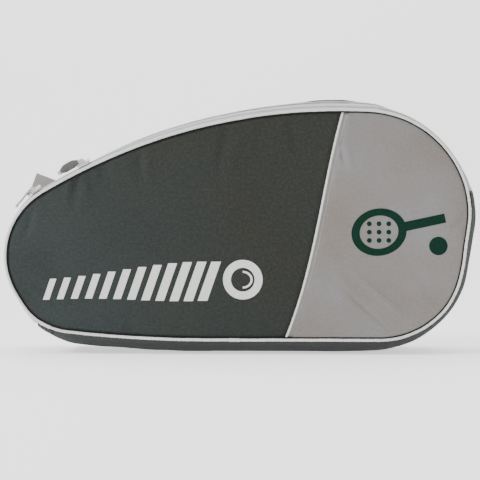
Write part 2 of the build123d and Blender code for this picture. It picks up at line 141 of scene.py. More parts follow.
def eased(column, spread=9):
    """One column of STUFFING spread evenly round the outline, with its corners eased."""
    line = np.interp(EVEN, PLACES, [row[column] for row in STUFFING], period=TOTAL)
    kernel = np.exp(-(np.arange(-3 * spread, 3 * spread + 1) / spread) ** 2)
    wrapped = np.concatenate([line[-3 * spread:], line, line[: 3 * spread]])
    return np.convolve(wrapped, kernel / kernel.sum(), "valid")


CAP_LINE = eased(2)
PUSH_LINE = eased(3)


def cap_at(s):
    """Most that the gusset stands out at distance s along the seam."""
    return float(np.interp(s % TOTAL, EVEN, CAP_LINE, period=TOTAL))


def push_at(s):
    """How far the front seam is pushed out at distance s along it."""
    return float(np.interp(s % TOTAL, EVEN, PUSH_LINE, period=TOTAL))


def smooth(t):
    """Eased step from 0 to 1."""
    t = min(max(t, 0.0), 1.0)
    return t * t * (3 - 2 * t)


def stuffed(s, y):
    """How far the outside of the gusset stands out of the rear seam."""
    bow = max(bow_at(y), 0.01)
    cap = cap_at(s)
    x, z, nx, nz = seam_at(s)
    crest = 0.0
    if nz > 0.5:  # a soft hump on the top, behind the zip
        crest = 2.6 * exp(-((x - 100) / 42) ** 2) * smooth((y + 52) / 22) * smooth((60 - y) / 40)
    return bow * (1 + (bow / cap) ** 6) ** (-1 / 6) + push_at(s) * smooth((20 - y) / 95) + crest


def sampled(pushed):
    """Even points round the front seam (pushed) or the rear one."""
    rows = []
    for s in EVEN:
        x, z, nx, nz = seam_at(s)
        f = push_at(s) if pushed else 0.0
        rows.append((x + f * nx, z + f * nz))
    return np.array(rows)


FRONT_EDGE = sampled(True)
REAR_EDGE = sampled(False)


def edge_depth(x, z, edge=FRONT_EDGE):
    """Distance inside an outline, and the place along the seam nearest to a point."""
    d = np.hypot(edge[:, 0] - x, edge[:, 1] - z)
    i = int(d.argmin())
    return float(d[i]), i * TOTAL / SAMPLES


def value(x, y, seed=0.0):
    """Smooth noise between about -1 and 1."""
    return noise.noise(Vector((x, y, seed)))


# ---------------------------------------------------------------- meshes
def mesh_object(name, verts, faces, uvs=None, smooth=True):
    mesh = bpy.data.meshes.new(name)
    mesh.from_pydata([(v[0] * MM, v[1] * MM, v[2] * MM) for v in verts], [], faces)
    if uvs is not None:
        layer = mesh.uv_layers.new(name="UVMap")
        loops = np.empty(len(mesh.loops), dtype=np.int32)
        mesh.loops.foreach_get("vertex_index", loops)
        layer.data.foreach_set("uv", np.asarray(uvs, dtype=np.float32)[loops].ravel())
    if smooth:
        mesh.polygons.foreach_set("use_smooth", [True] * len(mesh.polygons))
    mesh.update()
    obj = bpy.data.objects.new(name, mesh)
    bpy.context.scene.collection.objects.link(obj)
    return obj


def grid_faces(rows, cols, wrap_cols=False, wrap_rows=False):
    """Quads between the points of a grid that is listed row by row."""
    faces = []
    for i in range(rows if wrap_rows else rows - 1):
        for j in range(cols if wrap_cols else cols - 1):
            a, b = i * cols + j, i * cols + (j + 1) % cols
            c = ((i + 1) % rows) * cols + (j + 1) % cols
            d = ((i + 1) % rows) * cols + j
            faces.append((a, b, c, d))
    return faces


def solidify(obj, thickness):
    mod = obj.modifiers.new("thickness", "SOLIDIFY")
    mod.thickness = thickness * MM
    mod.offset = -1.0
    return obj


def band(name, s0, s1, y0, y1, out, step=2.5, cols=24):
    """Cloth that runs round the outline: out(s, y) is how far it stands out of the seam."""
    rows = max(int((s1 - s0) / step), 2)
    verts, uvs = [], []
    for i in range(rows + 1):
        s = s0 + (s1 - s0) * i / rows
        x, z, nx, nz = seam_at(s)
        for j in range(cols + 1):
            y = y0 + (y1 - y0) * j / cols
            n = out(s, y)
            verts.append((x + n * nx, y, max(z + n * nz, 0.15)))
            uvs.append((s / 10, y / 10))
    return mesh_object(name, verts, grid_faces(rows + 1, cols + 1), uvs)


def tube(name, path, radius, sides=10, closed=False, ripple=None):
    """A cord along a list of (point, out direction); ripple(run, angle) changes its radius."""
    verts, uvs = [], []
    count = len(path)
    run = 0.0
    for i, (p, out) in enumerate(path):
        before = path[i - 1][0] if (i or closed) else p
        after = path[(i + 1) % count][0] if (i + 1 < count or closed) else p
        along = (Vector(after) - Vector(before)).normalized()
        side = Vector(out).normalized()
        up = along.cross(side).normalized()
        if i:
            run += dist(p, path[i - 1][0])
        for k in range(sides):
            a = 2 * pi * k / sides
            r = radius * (1 + (ripple(run, a) if ripple else 0.0))
            q = Vector(p) + side * (r * cos(a)) + up * (r * sin(a))
            verts.append(tuple(q))
            uvs.append((run / 10, a * radius / 10))
    faces = grid_faces(count, sides, wrap_cols=True, wrap_rows=closed)
    if not closed:
        faces.append(tuple(range(sides)))
        faces.append(tuple((count - 1) * sides + k for k in reversed(range(sides))))
    return mesh_object(name, verts, faces, uvs)


# ---------------------------------------------------------------- materials
def socket(node, name, val):
    if name in node.inputs:
        node.inputs[name].default_value = val


class Paint:
    """Small helper that strings shader nodes together."""

    def __init__(self, name, uv=True):
        self.mat = bpy.data.materials.new(name)
        self.mat.use_nodes = True
        self.tree = self.mat.node_tree
        self.bsdf = self.tree.nodes["Principled BSDF"]
        coord = self.tree.nodes.new("ShaderNodeTexCoord")
        if uv:
            self.co = coord.outputs["UV"]
        else:
            big = self.tree.nodes.new("ShaderNodeVectorMath")
            big.operation = "SCALE"
            big.inputs["Scale"].default_value = 100.0
            self.link(coord.outputs["Object"], big.inputs[0])
            self.co = big.outputs[0]

    def link(self, a, b):
        self.tree.links.new(a, b)

    def noise(self, scale, detail=3.0, rough=0.6):
        n = self.tree.nodes.new("ShaderNodeTexNoise")
        n.inputs["Scale"].default_value = scale
        n.inputs["Detail"].default_value = detail
        n.inputs["Roughness"].default_value = rough
        self.link(self.co, n.inputs["Vector"])
        return n.outputs["Fac"]

    def wave(self, scale, direction, distort):
        w = self.tree.nodes.new("ShaderNodeTexWave")
        w.bands_direction = direction
        w.inputs["Scale"].default_value = scale
        w.inputs["Distortion"].default_value = distort
        w.inputs["Detail"].default_value = 2.0
        self.link(self.co, w.inputs["Vector"])
        return w.outputs["Fac"]

    def math(self, op, a, b):
        """One maths node; a and b are numbers or sockets."""
        m = self.tree.nodes.new("ShaderNodeMath")
        m.operation = op
        for i, v in enumerate((a, b)):
            if isinstance(v, (int, float)):
                m.inputs[i].default_value = v
            else:
                self.link(v, m.inputs[i])
        return m.outputs[0]

    def remap(self, v, a, b, c, d):
        """Maps the range a to b onto c to d."""
        m = self.tree.nodes.new("ShaderNodeMapRange")
        for name, val in zip(("From Min", "From Max", "To Min", "To Max"), (a, b, c, d)):
            m.inputs[name].default_value = val
        self.link(v, m.inputs["Value"])
        return m.outputs[0]

    def mix(self, fac, a, b):
        m = self.tree.nodes.new("ShaderNodeMix")
        m.data_type = "RGBA"
        self.link(fac, m.inputs["Factor"])
        for i, v in ((6, a), (7, b)):
            if isinstance(v, tuple):
                m.inputs[i].default_value = (*v, 1.0)
            else:
                self.link(v, m.inputs[i])
        return m.outputs[2]

    def bump(self, height, strength, depth_mm):
        b = self.tree.nodes.new("ShaderNodeBump")
        b.inputs["Strength"].default_value = strength
        b.inputs["Distance"].default_value = depth_mm * MM
        self.link(height, b.inputs["Height"])
        self.link(b.outputs[0], self.bsdf.inputs["Normal"])

    def colour(self, c):
        self.link(c, self.bsdf.inputs["Base Color"])

    def set(self, **values):
        for name, val in values.items():
            socket(self.bsdf, name.replace("_", " ").title().replace("Ior", "IOR"), val)


def cloth(name, base, deep, pale, weave=11.0, speckle=0.5, sheen=0.25, rough=0.9, uv=True, bump=0.5,
          across=None, specular=0.25, patchy=0.6):
    """Plain woven cloth: thread bumps, specks of lighter yarn and slow patches of wear.
    across is a second colour that the cloth fades to along its length."""
    p = Paint(name, uv)
    warp = p.wave(weave, "X", 0.6)
    weft = p.wave(weave, "Y" if uv else "Z", 0.6)
    threads = p.math("MAXIMUM", warp, weft)
    fleck = p.noise(9.0, 4.0, 0.75)
    patch = p.noise(0.11, 3.0, 0.5)
    col = base
    if across:
        split = p.tree.nodes.new("ShaderNodeSeparateXYZ")
        p.link(p.co, split.inputs[0])
        place = p.math("ADD", split.outputs[0], p.math("MULTIPLY", split.outputs[1], 0.55))
        place = p.math("ADD", place, p.remap(patch, 0.3, 0.7, -5.0, 5.0))
        col = p.mix(p.remap(place, -14.0, 10.0, 0.0, 1.0), base, across)
    col = p.mix(p.remap(patch, 0.35, 0.65, patchy, 0.0), col, deep)
    col = p.mix(p.math("MULTIPLY", p.remap(fleck, 0.52, 0.72, 0.0, 1.0), speckle), col, pale)
    grain = p.noise(3.2, 2.0, 0.8)
    col = p.mix(p.remap(grain, 0.40, 0.66, 0.0, 0.22), col, pale)
    col = p.mix(p.remap(grain, 0.36, 0.58, 0.22, 0.0), col, deep)
    col = p.mix(p.math("MULTIPLY", p.remap(threads, 0.2, 0.9, 1.0, 0.0), 0.35), col, deep)
    p.colour(col)
    p.set(sheen_weight=sheen)
    socket(p.bsdf, "Sheen Roughness", 0.5)
    p.link(p.remap(fleck, 0.3, 0.7, rough - 0.06, min(rough + 0.06, 1.0)), p.bsdf.inputs["Roughness"])
    socket(p.bsdf, "Specular IOR Level", specular)
    p.bump(p.math("ADD", threads, p.math("MULTIPLY", fleck, 0.8)), bump, 0.35)
    return p.mat


def webbing(name, base, deep):
    """Ribbed narrow webbing."""
    p = Paint(name)
    rib = p.wave(6.5, "X", 0.3)
    fine = p.wave(16.0, "DIAGONAL", 0.8)
    grime = p.noise(0.9, 4.0, 0.6)
    col = p.mix(p.remap(rib, 0.1, 0.9, 0.0, 1.0), deep, base)
    col = p.mix(p.math("MULTIPLY", p.remap(grime, 0.45, 0.7, 0.0, 1.0), 0.35), col, deep)
    p.colour(col)
    p.set(sheen_weight=0.15, roughness=0.82)
    p.bump(p.math("ADD", rib, p.math("MULTIPLY", fine, 0.4)), 0.7, 0.5)
    return p.mat


def solid(name, base, other, rough, metal=0.0, scale=2.0, bump=0.15, uv=False, specular=0.5):
    """Plastic, enamel, print or thread that wanders between two shades."""
    p = Paint(name, uv)
    n = p.noise(scale, 5.0, 0.65)
    p.colour(p.mix(p.remap(n, 0.35, 0.7, 0.0, 1.0), base, other))
    p.link(p.remap(n, 0.3, 0.7, rough - 0.07, rough + 0.1), p.bsdf.inputs["Roughness"])
    socket(p.bsdf, "Metallic", metal)
    socket(p.bsdf, "Specular IOR Level", specular)
    p.bump(p.noise(scale * 12, 2.0), bump, 0.1)
    return p.mat


DARK = cloth("dark_weave", (0.030, 0.040, 0.040), (0.019, 0.023, 0.021), (0.066, 0.073, 0.070), sheen=0.04,
             across=(0.024, 0.0235, 0.0165), specular=0.2)
GUSSET = cloth("gusset_weave", (0.024, 0.028, 0.026), (0.016, 0.019, 0.018), (0.050, 0.056, 0.054), sheen=0.05)
LIGHT = cloth("light_weave", (0.178, 0.178, 0.184), (0.152, 0.130, 0.112), (0.245, 0.24, 0.236), speckle=0.22,
              sheen=0.05, rough=0.5, bump=0.22, specular=0.4, patchy=0.9)
STRIP = cloth("divider_strip_cloth", (0.34, 0.33, 0.32), (0.27, 0.26, 0.25), (0.42, 0.41, 0.40), weave=12.0,
              speckle=0.25, sheen=0.05, rough=0.6)
PIPE = cloth("piping_cloth", (0.78, 0.775, 0.76), (0.62, 0.61, 0.59), (0.84, 0.83, 0.82), weave=14, speckle=0.3,
             sheen=0.1, rough=0.7)
TAPE = cloth("zip_tape_cloth", (0.66, 0.66, 0.67), (0.50, 0.50, 0.51), (0.76, 0.76, 0.76), weave=9, speckle=0.3,
             sheen=0.1)
# Near-black cloth: painted shadow, used for the thin cord that stands for the shade in the crease between the
# front cloth and its piping.
SHADE = cloth("seam_shadow_cloth", (0.010, 0.011, 0.011), (0.006, 0.006, 0.006), (0.02, 0.02, 0.02), sheen=0.0)
SEAM_GREY = cloth("tape_seam_cloth", (0.33, 0.33, 0.33), (0.24, 0.24, 0.24), (0.45, 0.45, 0.45), sheen=0.0)
BINDING = cloth("binding_cloth", (0.72, 0.72, 0.71), (0.56, 0.56, 0.55), (0.80, 0.80, 0.79), weave=14)
COIL = solid("coil_nylon", (0.62, 0.62, 0.62), (0.50, 0.50, 0.50), 0.45, scale=6.0, uv=True)
BOARD = solid("board_sheet", (0.03, 0.03, 0.032), (0.05, 0.05, 0.05), 0.6)
PAD = cloth("pad_cloth", (0.036, 0.043, 0.042), (0.022, 0.027, 0.026), (0.08, 0.09, 0.09), weave=6.0, uv=False,
            sheen=0.25, bump=0.8)
WEBBING = webbing("ribbed_webbing", (0.46, 0.43, 0.405), (0.34, 0.315, 0.295))
PULL_TAPE = webbing("pull_ribbing", (0.17, 0.165, 0.16), (0.09, 0.088, 0.085))
BUCKLE = solid("moulded_buckle", (0.022, 0.022, 0.024), (0.035, 0.035, 0.036), 0.38)
ENAMEL = solid("slider_enamel", (0.62, 0.62, 0.61), (0.48, 0.48, 0.47), 0.32, metal=0.3, scale=5.0)
TAB = cloth("end_tab_cloth", (0.018, 0.019, 0.020), (0.010, 0.011, 0.012), (0.05, 0.05, 0.05), sheen=0.05)
PRINT = solid("pale_print", (0.66, 0.65, 0.635), (0.58, 0.57, 0.56), 0.75, scale=3.0, uv=True, specular=0.2)
GREEN = solid("green_print", (0.005, 0.026, 0.016), (0.0035, 0.019, 0.012), 0.85, scale=3.0, uv=True,
              specular=0.08)
THREAD = solid("stitch_thread", (0.30, 0.30, 0.29), (0.22, 0.22, 0.21), 0.8, scale=9.0, uv=True)
SEAM_THREAD = solid("tape_thread", (0.45, 0.45, 0.45), (0.36, 0.36, 0.36), 0.8, scale=9.0, uv=True)
LINING = cloth("quilt_lining", (0.060, 0.062, 0.070), (0.040, 0.042, 0.048), (0.10, 0.10, 0.11), weave=8.0,
               sheen=0.3, rough=0.65)
POCKET = cloth("pocket_mesh", (0.045, 0.046, 0.052), (0.020, 0.020, 0.024), (0.08, 0.08, 0.09),
               weave=4.0, bump=0.9, sheen=0.2)
DARK_THREAD = solid("dark_thread", (0.05, 0.055, 0.055), (0.03, 0.033, 0.033), 0.8, scale=9.0, uv=True)


def wear(obj, mat):
    obj.data.materials.clear()
    obj.data.materials.append(mat)
    return obj


def settle(obj, mat, body, *cad_nodes):
    """Dresses a piece, says which CAD nodes it stands for, and lets it ride on a body."""
    wear(obj, mat)
    if cad_nodes:
        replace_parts(obj, *cad_nodes)
    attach(obj, body)
    return obj


# ---------------------------------------------------------------- front cloth
FRONT = -HALF  # the plane of the front seam
# Points of the seam that divides the dark cloth from the light, from its foot to its head.
DIVIDER = [(53.7, 17.5), (62.9, 41.7), (71.7, 70.0), (81.9, 108.3), (92.0, 157.4), (103.3, 212.0),
           (116.4, 265.5)]
DIVIDER_FIT = np.polyfit([z for x, z in DIVIDER], [x for x, z in DIVIDER], 4)
DIVIDER_STEPS = 160
DARK_EDGE, LIGHT_EDGE = -1.6, 3.0  # where the two cloths end, measured across from the divider
PUFF_REACH = 78.0  # how far from its edge the front cloth is still rising


def divider_x(z):
    return float(np.polyval(DIVIDER_FIT, z))


# Soft folds in the front cloth: (x, z, half length, half width, lean, depth), upright before leaning.
FOLDS_DARK = [
    (-178, 187, 20, 4.5, 0.10, -2.9), (-168, 178, 15, 7.0, 0.15, 2.2), (-187, 178, 12, 4.0, 0.05, 1.2),
    (-230, 143, 17, 4.5, 0.30, -2.2), (-220, 150, 14, 5.5, 0.25, 1.4), (-150, 197, 12, 4.0, -0.15, -1.4),
    (-108, 212, 15, 4.5, -0.10, -2.2), (-99, 205, 17, 6.0, -0.10, 1.5), (-122, 205, 12, 5.0, 0.05, 1.0),
    (-17, 226, 24, 5.0, 0.20, -2.0), (-6, 214, 26, 7.5, 0.22, 1.7), (22, 235, 14, 4.5, 0.10, -1.4),
    (60, 236, 18, 5.0, -0.25, -1.4), (-205, 60, 18, 5.0, -0.8, -1.2), (-60, 36, 9, 6.0, 0.2, -1.0),
    (30, 36, 10, 6.0, -0.2, -1.0), (-130, 120, 40, 16.0, 0.9, -1.2), (10, 140, 46, 20.0, 0.6, -1.4),
]
FOLDS_LIGHT = [
    (112, 221, 12, 3.0, -0.15, -2.2), (120, 214, 14, 5.0, -0.15, 1.5), (238, 146, 8, 3.2, 0.9, -2.2),
    (232, 139, 9, 4.0, 0.9, 1.5), (140, 48, 22, 4.0, -1.1, -1.4), (156, 62, 26, 6.0, -1.1, 1.2),
    (186, 196, 30, 10.0, 0.8, -1.2), (150, 228, 16, 8.0, 0.5, -1.0), (120, 90, 34, 9.0, -0.4, -1.2),
    (200, 78, 26, 9.0, -0.7, -1.0),
]


def fold_mark(x, z, fx, fz, reach, width, lean, depth):
    """Height that one fold adds at a point; outside its reach it adds nothing."""
    dz = z - fz
    dx = x - fx - lean * dz
    if abs(dx) > 3 * width or abs(dz) > 2.4 * reach:
        return 0.0
    return depth * exp(-(dx / width) ** 2 - (dz / reach) ** 2)


def front_relief(x, z, light):
    """How far the front cloth stands forward of the seam plane."""
    d, s = edge_depth(x, z)
    near_edge = 1 - min(d / PUFF_REACH, 1.0)
    inner = near_edge**2
    puff = 1.4 + 4.0 * (1 - inner * near_edge)
    roll = -1.8 * exp(-(d / 2.2) ** 2)
    gather = value(s / 13.0, d / 60.0, 3.1) * 1.5 * inner * inner * smooth(d / 5.0)
    fine = value(s / 6.0, d / 40.0, 7.7) * 0.5 * inner**5 * smooth(d / 4.0)
    slow = value(x / 95.0, z / 62.0, 1.7) * 1.5 + value(x / 42.0 + z / 70.0, z / 55.0, 5.2) * 0.55
    slow *= smooth(d / 26.0)
    g = x - divider_x(z)
    if light:
        lip = 1.5 * smooth((g - 3.0) / 1.6)
        pucker = 0.9 * exp(-((g - 8) / 6) ** 2) * value(z / 5.5, g / 9.0, 9.9)
        upper = exp(-((z - 212) / 16) ** 2)
        h = puff + roll + 0.8 * (gather + fine) + 0.7 * slow + lip - 1.9 * exp(-((g - 0.6) / 3.6) ** 2)
        h += pucker * (0.35 + 0.9 * upper)
        for fold in FOLDS_LIGHT:
            h += fold_mark(x, z, *fold) * smooth(d / 5.0)
        return h
    u = x + 0.22 * (z - 200)
    zone = smooth((x + 205) / 40) * smooth((-70 - x) / 60)
    drape = zone * inner * smooth(d / 9.0) * 1.4 * value(u / 9.5, z / 110.0, 12.3)
    for fold in FOLDS_DARK:
        drape += fold_mark(x, z, *fold) * smooth(d / 5.0)
    h = puff + roll + gather + fine + slow + drape
    return h - 1.6 * exp(-((g + 4.4) / 2.6) ** 2)


def outline_loop(inset, light):
    """Closed loop of points round one of the two front pieces."""
    edge = LIGHT_EDGE if light else DARK_EDGE
    pts = []
    count = 720
    for i in range(count):
        s = i * TOTAL / count
        x, z, nx, nz = seam_at(s)
        out = push_at(s) - inset
        x, z = x + out * nx, z + out * nz
        g = x - divider_x(z)
        if (g > edge + 0.6) if light else (g < edge - 0.6):
            pts.append((x, z))
    gaps = [dist(pts[i], pts[(i + 1) % len(pts)]) for i in range(len(pts))]
    cut = int(np.argmax(gaps))
    pts = pts[cut + 1:] + pts[: cut + 1]
    run = np.linspace(pts[-1][1], pts[0][1], 131)
    return pts + [(divider_x(z) + edge, z) for z in run]


def front_piece(name, light, rings=86):
    """One of the two front cloths, as rings that shrink towards its middle."""
    loop = outline_loop(0.3, light)
    cx = sum(p[0] for p in loop) / len(loop)
    cz = sum(p[1] for p in loop) / len(loop)
    verts, uvs = [], []
    for r in range(rings + 1):
        t = (r / rings) ** 0.8
        for x0, z0 in loop:
            x, z = cx + (x0 - cx) * t, cz + (z0 - cz) * t
            verts.append((x, FRONT - front_relief(x, z, light), z))
            uvs.append((x / 10, z / 10))
    return mesh_object(name, verts, grid_faces(rings + 1, len(loop), wrap_cols=True), uvs)


def across_fold(obj):
    """Bakes a front piece's placement into its mesh."""
    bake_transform(obj)


dark = wear(front_piece("front_dark_cloth", False), DARK)
light = wear(front_piece("front_light_cloth", True), LIGHT)
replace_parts(dark, "front_upper_dark", "front_lower_dark")
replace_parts(light, "front_upper_light", "front_lower_light")


def divider_path(shift, lift):
    """Line beside the divider on the dark cloth."""
    path = []
    for i in range(DIVIDER_STEPS + 1):
        z = 19.0 + (263.5 - 19.0) * i / DIVIDER_STEPS
        x = divider_x(z) + shift
        path.append(((x, FRONT - front_relief(x, z, False) - lift, z), (0, -1, 0)))
    return path


def twist(run, angle):
    """Ripple of a cord under its cloth cover."""
    return 0.10 * sin(run * 1.35 + 2 * angle) + 0.05 * sin(run * 0.61 + 1.1)


div_cord = wear(tube("divider_cord", divider_path(-2.6, 0.7), 1.3, 10, ripple=twist), PIPE)
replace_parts(div_cord, "divider_piping_upper", "divider_piping_lower")


def strip_mesh(name, left, right, lift):
    """Flat strip of cloth along the divider, from left to right of it."""
    verts, uvs = [], []
    for i in range(DIVIDER_STEPS + 1):
        z = 18.0 + (265.0 - 18.0) * i / DIVIDER_STEPS
        for k in range(5):
            g = left + (right - left) * k / 4
            x = divider_x(z) + g
            y = FRONT - min(front_relief(x, z, False), front_relief(x, z, True)) - lift
            verts.append((x, y, z))
            uvs.append((x / 10, z / 10))
    return mesh_object(name, verts, grid_faces(DIVIDER_STEPS + 1, 5), uvs)


div_strip = wear(strip_mesh("divider_strip", -1.6, 3.6, -0.2), STRIP)


# ---------------------------------------------------------------- piping
def piping_path(y, out, s0, s1, step, wobble, pushed):
    """Line at depth y that stands out of the seam by out, with a slight wobble."""
    count = int((s1 - s0) / step)
    path = []
    for i in range(count + 1):
        s = s0 + (s1 - s0) * i / count
        x, z, nx, nz = seam_at(s)
        w = wobble * value(s / 17.0, 0.0, 4.4) + (push_at(s) if pushed else 0.0)
        path.append(((x + (out + w) * nx, y, z + (out + w) * nz), (nx, 0, nz)))
    return path


def piping_ring(name, y, out, radius, sides, mat, ripple=None, step=2.0, wobble=0.1, pushed=True):
    """A cord right round the case; its line's last point repeats the first."""
    path = piping_path(y, out, 0.0, TOTAL, step, wobble, pushed)
    return wear(tube(name, path[:-1], radius, sides, True, ripple), mat)


FRONT_PIPE_Y, FRONT_PIPE_OUT = -76.7, 1.5
front_pipe = piping_ring("front_piping_cord", FRONT_PIPE_Y, FRONT_PIPE_OUT, 1.6, 12, PIPE, twist, 1.5, 0.25)
# Thin near-black cord just inside the front piping: painted shadow for the dark crease between the front cloth
# and the piping.
piping_painted_shadow = piping_ring("front_piping_painted_shadow", -76.9, -0.75, 0.8, 6, SHADE)
tape_flange = piping_ring("front_tape_flange", -74.6, 2.7, 0.55, 6, SEAM_GREY)
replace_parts(front_pipe, "front_piping_upper", "front_piping_lower")
rear_pipe = piping_ring("rear_piping_cord", 76.6, 1.3, 1.95, 10, PIPE, twist, 2.0, 0.25, False)
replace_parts(rear_pipe, "rear_piping")
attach(rear_pipe, "shell")


# ---------------------------------------------------------------- gusset and zip
ZIP_Y = -60.0  # depth at which the two halves of the zip meet
TAPE_FRONT, TAPE_REAR = -62.2, -57.8  # inner edges of the two tapes
GUSSET_FRONT = -43.6  # front edge of the top gusset, under the binding
BINDING_Y = -44.2
GUSSET_THICKNESS = 2.6


def gusset_out(s, y):
    """Outside of the gusset cloth: the stuffed shape with slow sags and gathers along both seams."""
    edge = min(HALF - y, y + HALF)
    n = stuffed(s, y)
    n += value(s / 22.0, y / 30.0, 2.2) * 0.7 * smooth(edge / 14)
    n += value(s / 60.0, y / 45.0, 6.1) * 1.2 * smooth(edge / 20)
    n += value(s / 9.0, edge / 30.0, 8.3) * 0.5 * exp(-edge / 12.0) * smooth(edge / 3)
    return n


lower = band("bottom_gusset_cloth", ZIP_STOP, ZIP_START + TOTAL, -HALF, HALF, gusset_out, cols=44)
settle(solidify(lower, GUSSET_THICKNESS), GUSSET, "shell", "bottom_gusset")
upper = band("top_gusset_cloth", ZIP_START, ZIP_STOP, GUSSET_FRONT, HALF, gusset_out, cols=36)
settle(solidify(upper, GUSSET_THICKNESS), GUSSET, "shell", "top_gusset")


def tape_out(s, y):
    """Outside of the zip tapes, with fine puckers by the front seam."""
    n = stuffed(s, y) - 0.15
    n += value(s / 11.0, y / 18.0, 1.3) * 0.35
    n += 0.25 * sin(s / 1.9) * exp(-((y + 74) / 3.5) ** 2)
    return n


tape_f = band("front_zip_tape", ZIP_START + 0.4, ZIP_STOP - 0.4, -HALF, TAPE_FRONT, tape_out, 1.6, 8)
settle(solidify(tape_f, 1.0), TAPE, "flap", "zip_tape_front")
tape_r = band("rear_zip_tape", ZIP_START, ZIP_STOP, TAPE_REAR, -45.0, tape_out, 1.6, 8)
settle(solidify(tape_r, 1.0), TAPE, "shell", "zip_tape_rear")


def coil(name, y0, y1, phase):
    """Interlocked turns of a nylon coil, each a short rounded bar, on a narrow base."""
    verts, faces, uvs = [], [], []
    pitch = 1.9
    count = int((ZIP_STOP - ZIP_START - 1.4) / pitch)
    section = [(-0.62, 0.0), (-0.45, 0.75), (0.0, 1.05), (0.45, 0.75), (0.62, 0.0)]
    per = len(section)
    for i in range(count):
        s = ZIP_START + 0.9 + (i + phase) * pitch
        for y, rise in ((y0, 0.55), ((y0 + y1) / 2, 1.0), (y1, 0.8)):
            for ds, h in section:
                x, z, nx, nz = seam_at(s + ds)
                n = stuffed(s, y) + 0.1 + h * rise * 1.15
                verts.append((x + n * nx, y, z + n * nz))
                uvs.append((s / 10, y / 10))
        b = len(verts) - 3 * per
        for row in (b, b + per):
            for c in range(row, row + per - 1):
                faces.append((c, c + 1, c + per + 1, c + per))
        faces.append(tuple(b + k for k in reversed(range(per))))
        faces.append(tuple(b + 2 * per + k for k in range(per)))
    return mesh_object(name, verts, faces, uvs)


def under_coil(s, y):
    return stuffed(s, y) - 0.1


settle(coil("front_zip_coil", TAPE_FRONT - 0.2, ZIP_Y - 0.2, 0.0), COIL, "flap", "zip_coil_front")
settle(coil("rear_zip_coil", TAPE_REAR + 0.2, ZIP_Y + 0.2, 0.5), COIL, "shell", "zip_coil_rear")
edge_r = band("zip_tape_edge_rear", ZIP_START, ZIP_STOP, ZIP_Y + 0.2, TAPE_REAR + 0.2, under_coil, 2.5, 2)
settle(edge_r, TAPE, "shell")
edge_f = band("zip_tape_edge_front", ZIP_START + 0.4, ZIP_STOP - 0.4, TAPE_FRONT - 0.4, ZIP_Y - 0.15,
              under_coil, 2.5, 2)
settle(edge_f, TAPE, "flap")

bind_path = []
for s in np.linspace(ZIP_START, ZIP_STOP, 620):
    x, z, nx, nz = seam_at(s)
    n = stuffed(s, BINDING_Y) + 0.55 + 0.15 * value(s / 8.0, 0, 1.0)
    bind_path.append(((x + n * nx, BINDING_Y, z + n * nz), (nx, 0, nz)))
settle(tube("zip_binding_cord", bind_path, 0.85, 8, ripple=twist), BINDING, "shell", "zip_seam_binding")


# ---------------------------------------------------------------- rear cloth
MIDDLE_Z = 130.0  # height from which the rear and the lining sheets spread


def rear_piece(rings=60, count=480):
    """Rear cloth, as rings that shrink towards the middle, gathered a little by its seam."""
    loop = [seam_at(i * TOTAL / count)[:2] for i in range(count)]
    verts, uvs = [], []
    for r in range(rings + 1):
        t = (r / rings) ** 0.85
        for x0, z0 in loop:
            x, z = x0 * t, MIDDLE_Z + (z0 - MIDDLE_Z) * t
            d, s = edge_depth(x, z, REAR_EDGE)
            inner = (1 - min(d / 60.0, 1.0)) ** 2
            h = 1.0 + 1.0 * (1 - inner * inner) - 1.2 * exp(-(d / 2.2) ** 2)
            h += value(s / 12.0, d / 50.0, 6.6) * 0.8 * inner * inner * smooth(d / 5)
            verts.append((x, HALF + h, z))
            uvs.append((x / 10, z / 10))
    faces = [tuple(reversed(f)) for f in grid_faces(rings + 1, len(loop), wrap_cols=True)]
    return mesh_object("rear_cloth", verts, faces, uvs)


rear = settle(rear_piece(), GUSSET, "shell", "rear_panel")


# ---------------------------------------------------------------- prints
PRINT_LIFT = 0.22


def decal(name, shapes, light, mat):
    """Flat printed shapes laid on the front cloth; each shape is a grid of points."""
    verts, faces, uvs = [], [], []
    for rows in shapes:
        cols = len(rows[0])
        b = len(verts)
        for row in rows:
            for x, z in row:
                verts.append((x, FRONT - front_relief(x, z, light) - PRINT_LIFT, z))
                uvs.append((x / 10, z / 10))
        for f in grid_faces(len(rows), cols):
            faces.append(tuple(b + k for k in f))
    return wear(mesh_object(name, verts, faces, uvs), mat)


def bar(x0, x1, z0, z1, lean):
    """Leaning bar as a grid of points about 3 mm apart."""
    rows = []
    nz = max(int((z1 - z0) / 3), 2)
    nx = max(int((x1 - x0) / 3), 2)
    for i in range(nz + 1):
        z = z0 + (z1 - z0) * i / nz
        rows.append([(x0 + (x1 - x0) * k / nx + lean * (z - z0), z) for k in range(nx + 1)])
    return rows


def ring_shape(cx, cz, rx, rz, inner, turn=0.0, steps=72, layers=5):
    """Oval ring whose hole is inner times its size, turned about its middle."""
    rows = []
    for i in range(layers + 1):
        f = inner + (1 - inner) * i / layers
        row = []
        for k in range(steps + 1):
            a = 2 * pi * k / steps
            x, z = rx * f * cos(a), rz * f * sin(a)
            row.append((cx + x * cos(turn) - z * sin(turn), cz + x * sin(turn) + z * cos(turn)))
        rows.append(row)
    return rows


bars = []
for i in range(12):
    low = 59.5 + 1.4 * sin(i * 0.5)
    high = 82.0 + 19.0 * smooth((i + 1) / 11)
    x = -214.0 + i * 15.4
    bars.append(bar(x, x + 7.0 + 0.32 * i, low, high, lean=0.35))
BALL_X, BALL_Z = 4.5, 81.5
ball = ring_shape(BALL_X, BALL_Z, 21.5, 21.5, 0.60, steps=84, layers=6)
half_turn = [pi * k / 20 - pi / 2 for k in range(21)]
seam_line = [[(BALL_X + 13.5 * cos(a) * f, BALL_Z + 12.0 * sin(a) * f) for a in half_turn]
             for f in (0.62, 0.80)]
print_band = decal("speed_marks_print", bars + [ball, seam_line], False, PRINT)

PADDLE_TURN = radians(12)
HEAD_X, HEAD_Z = 152.0, 133.0


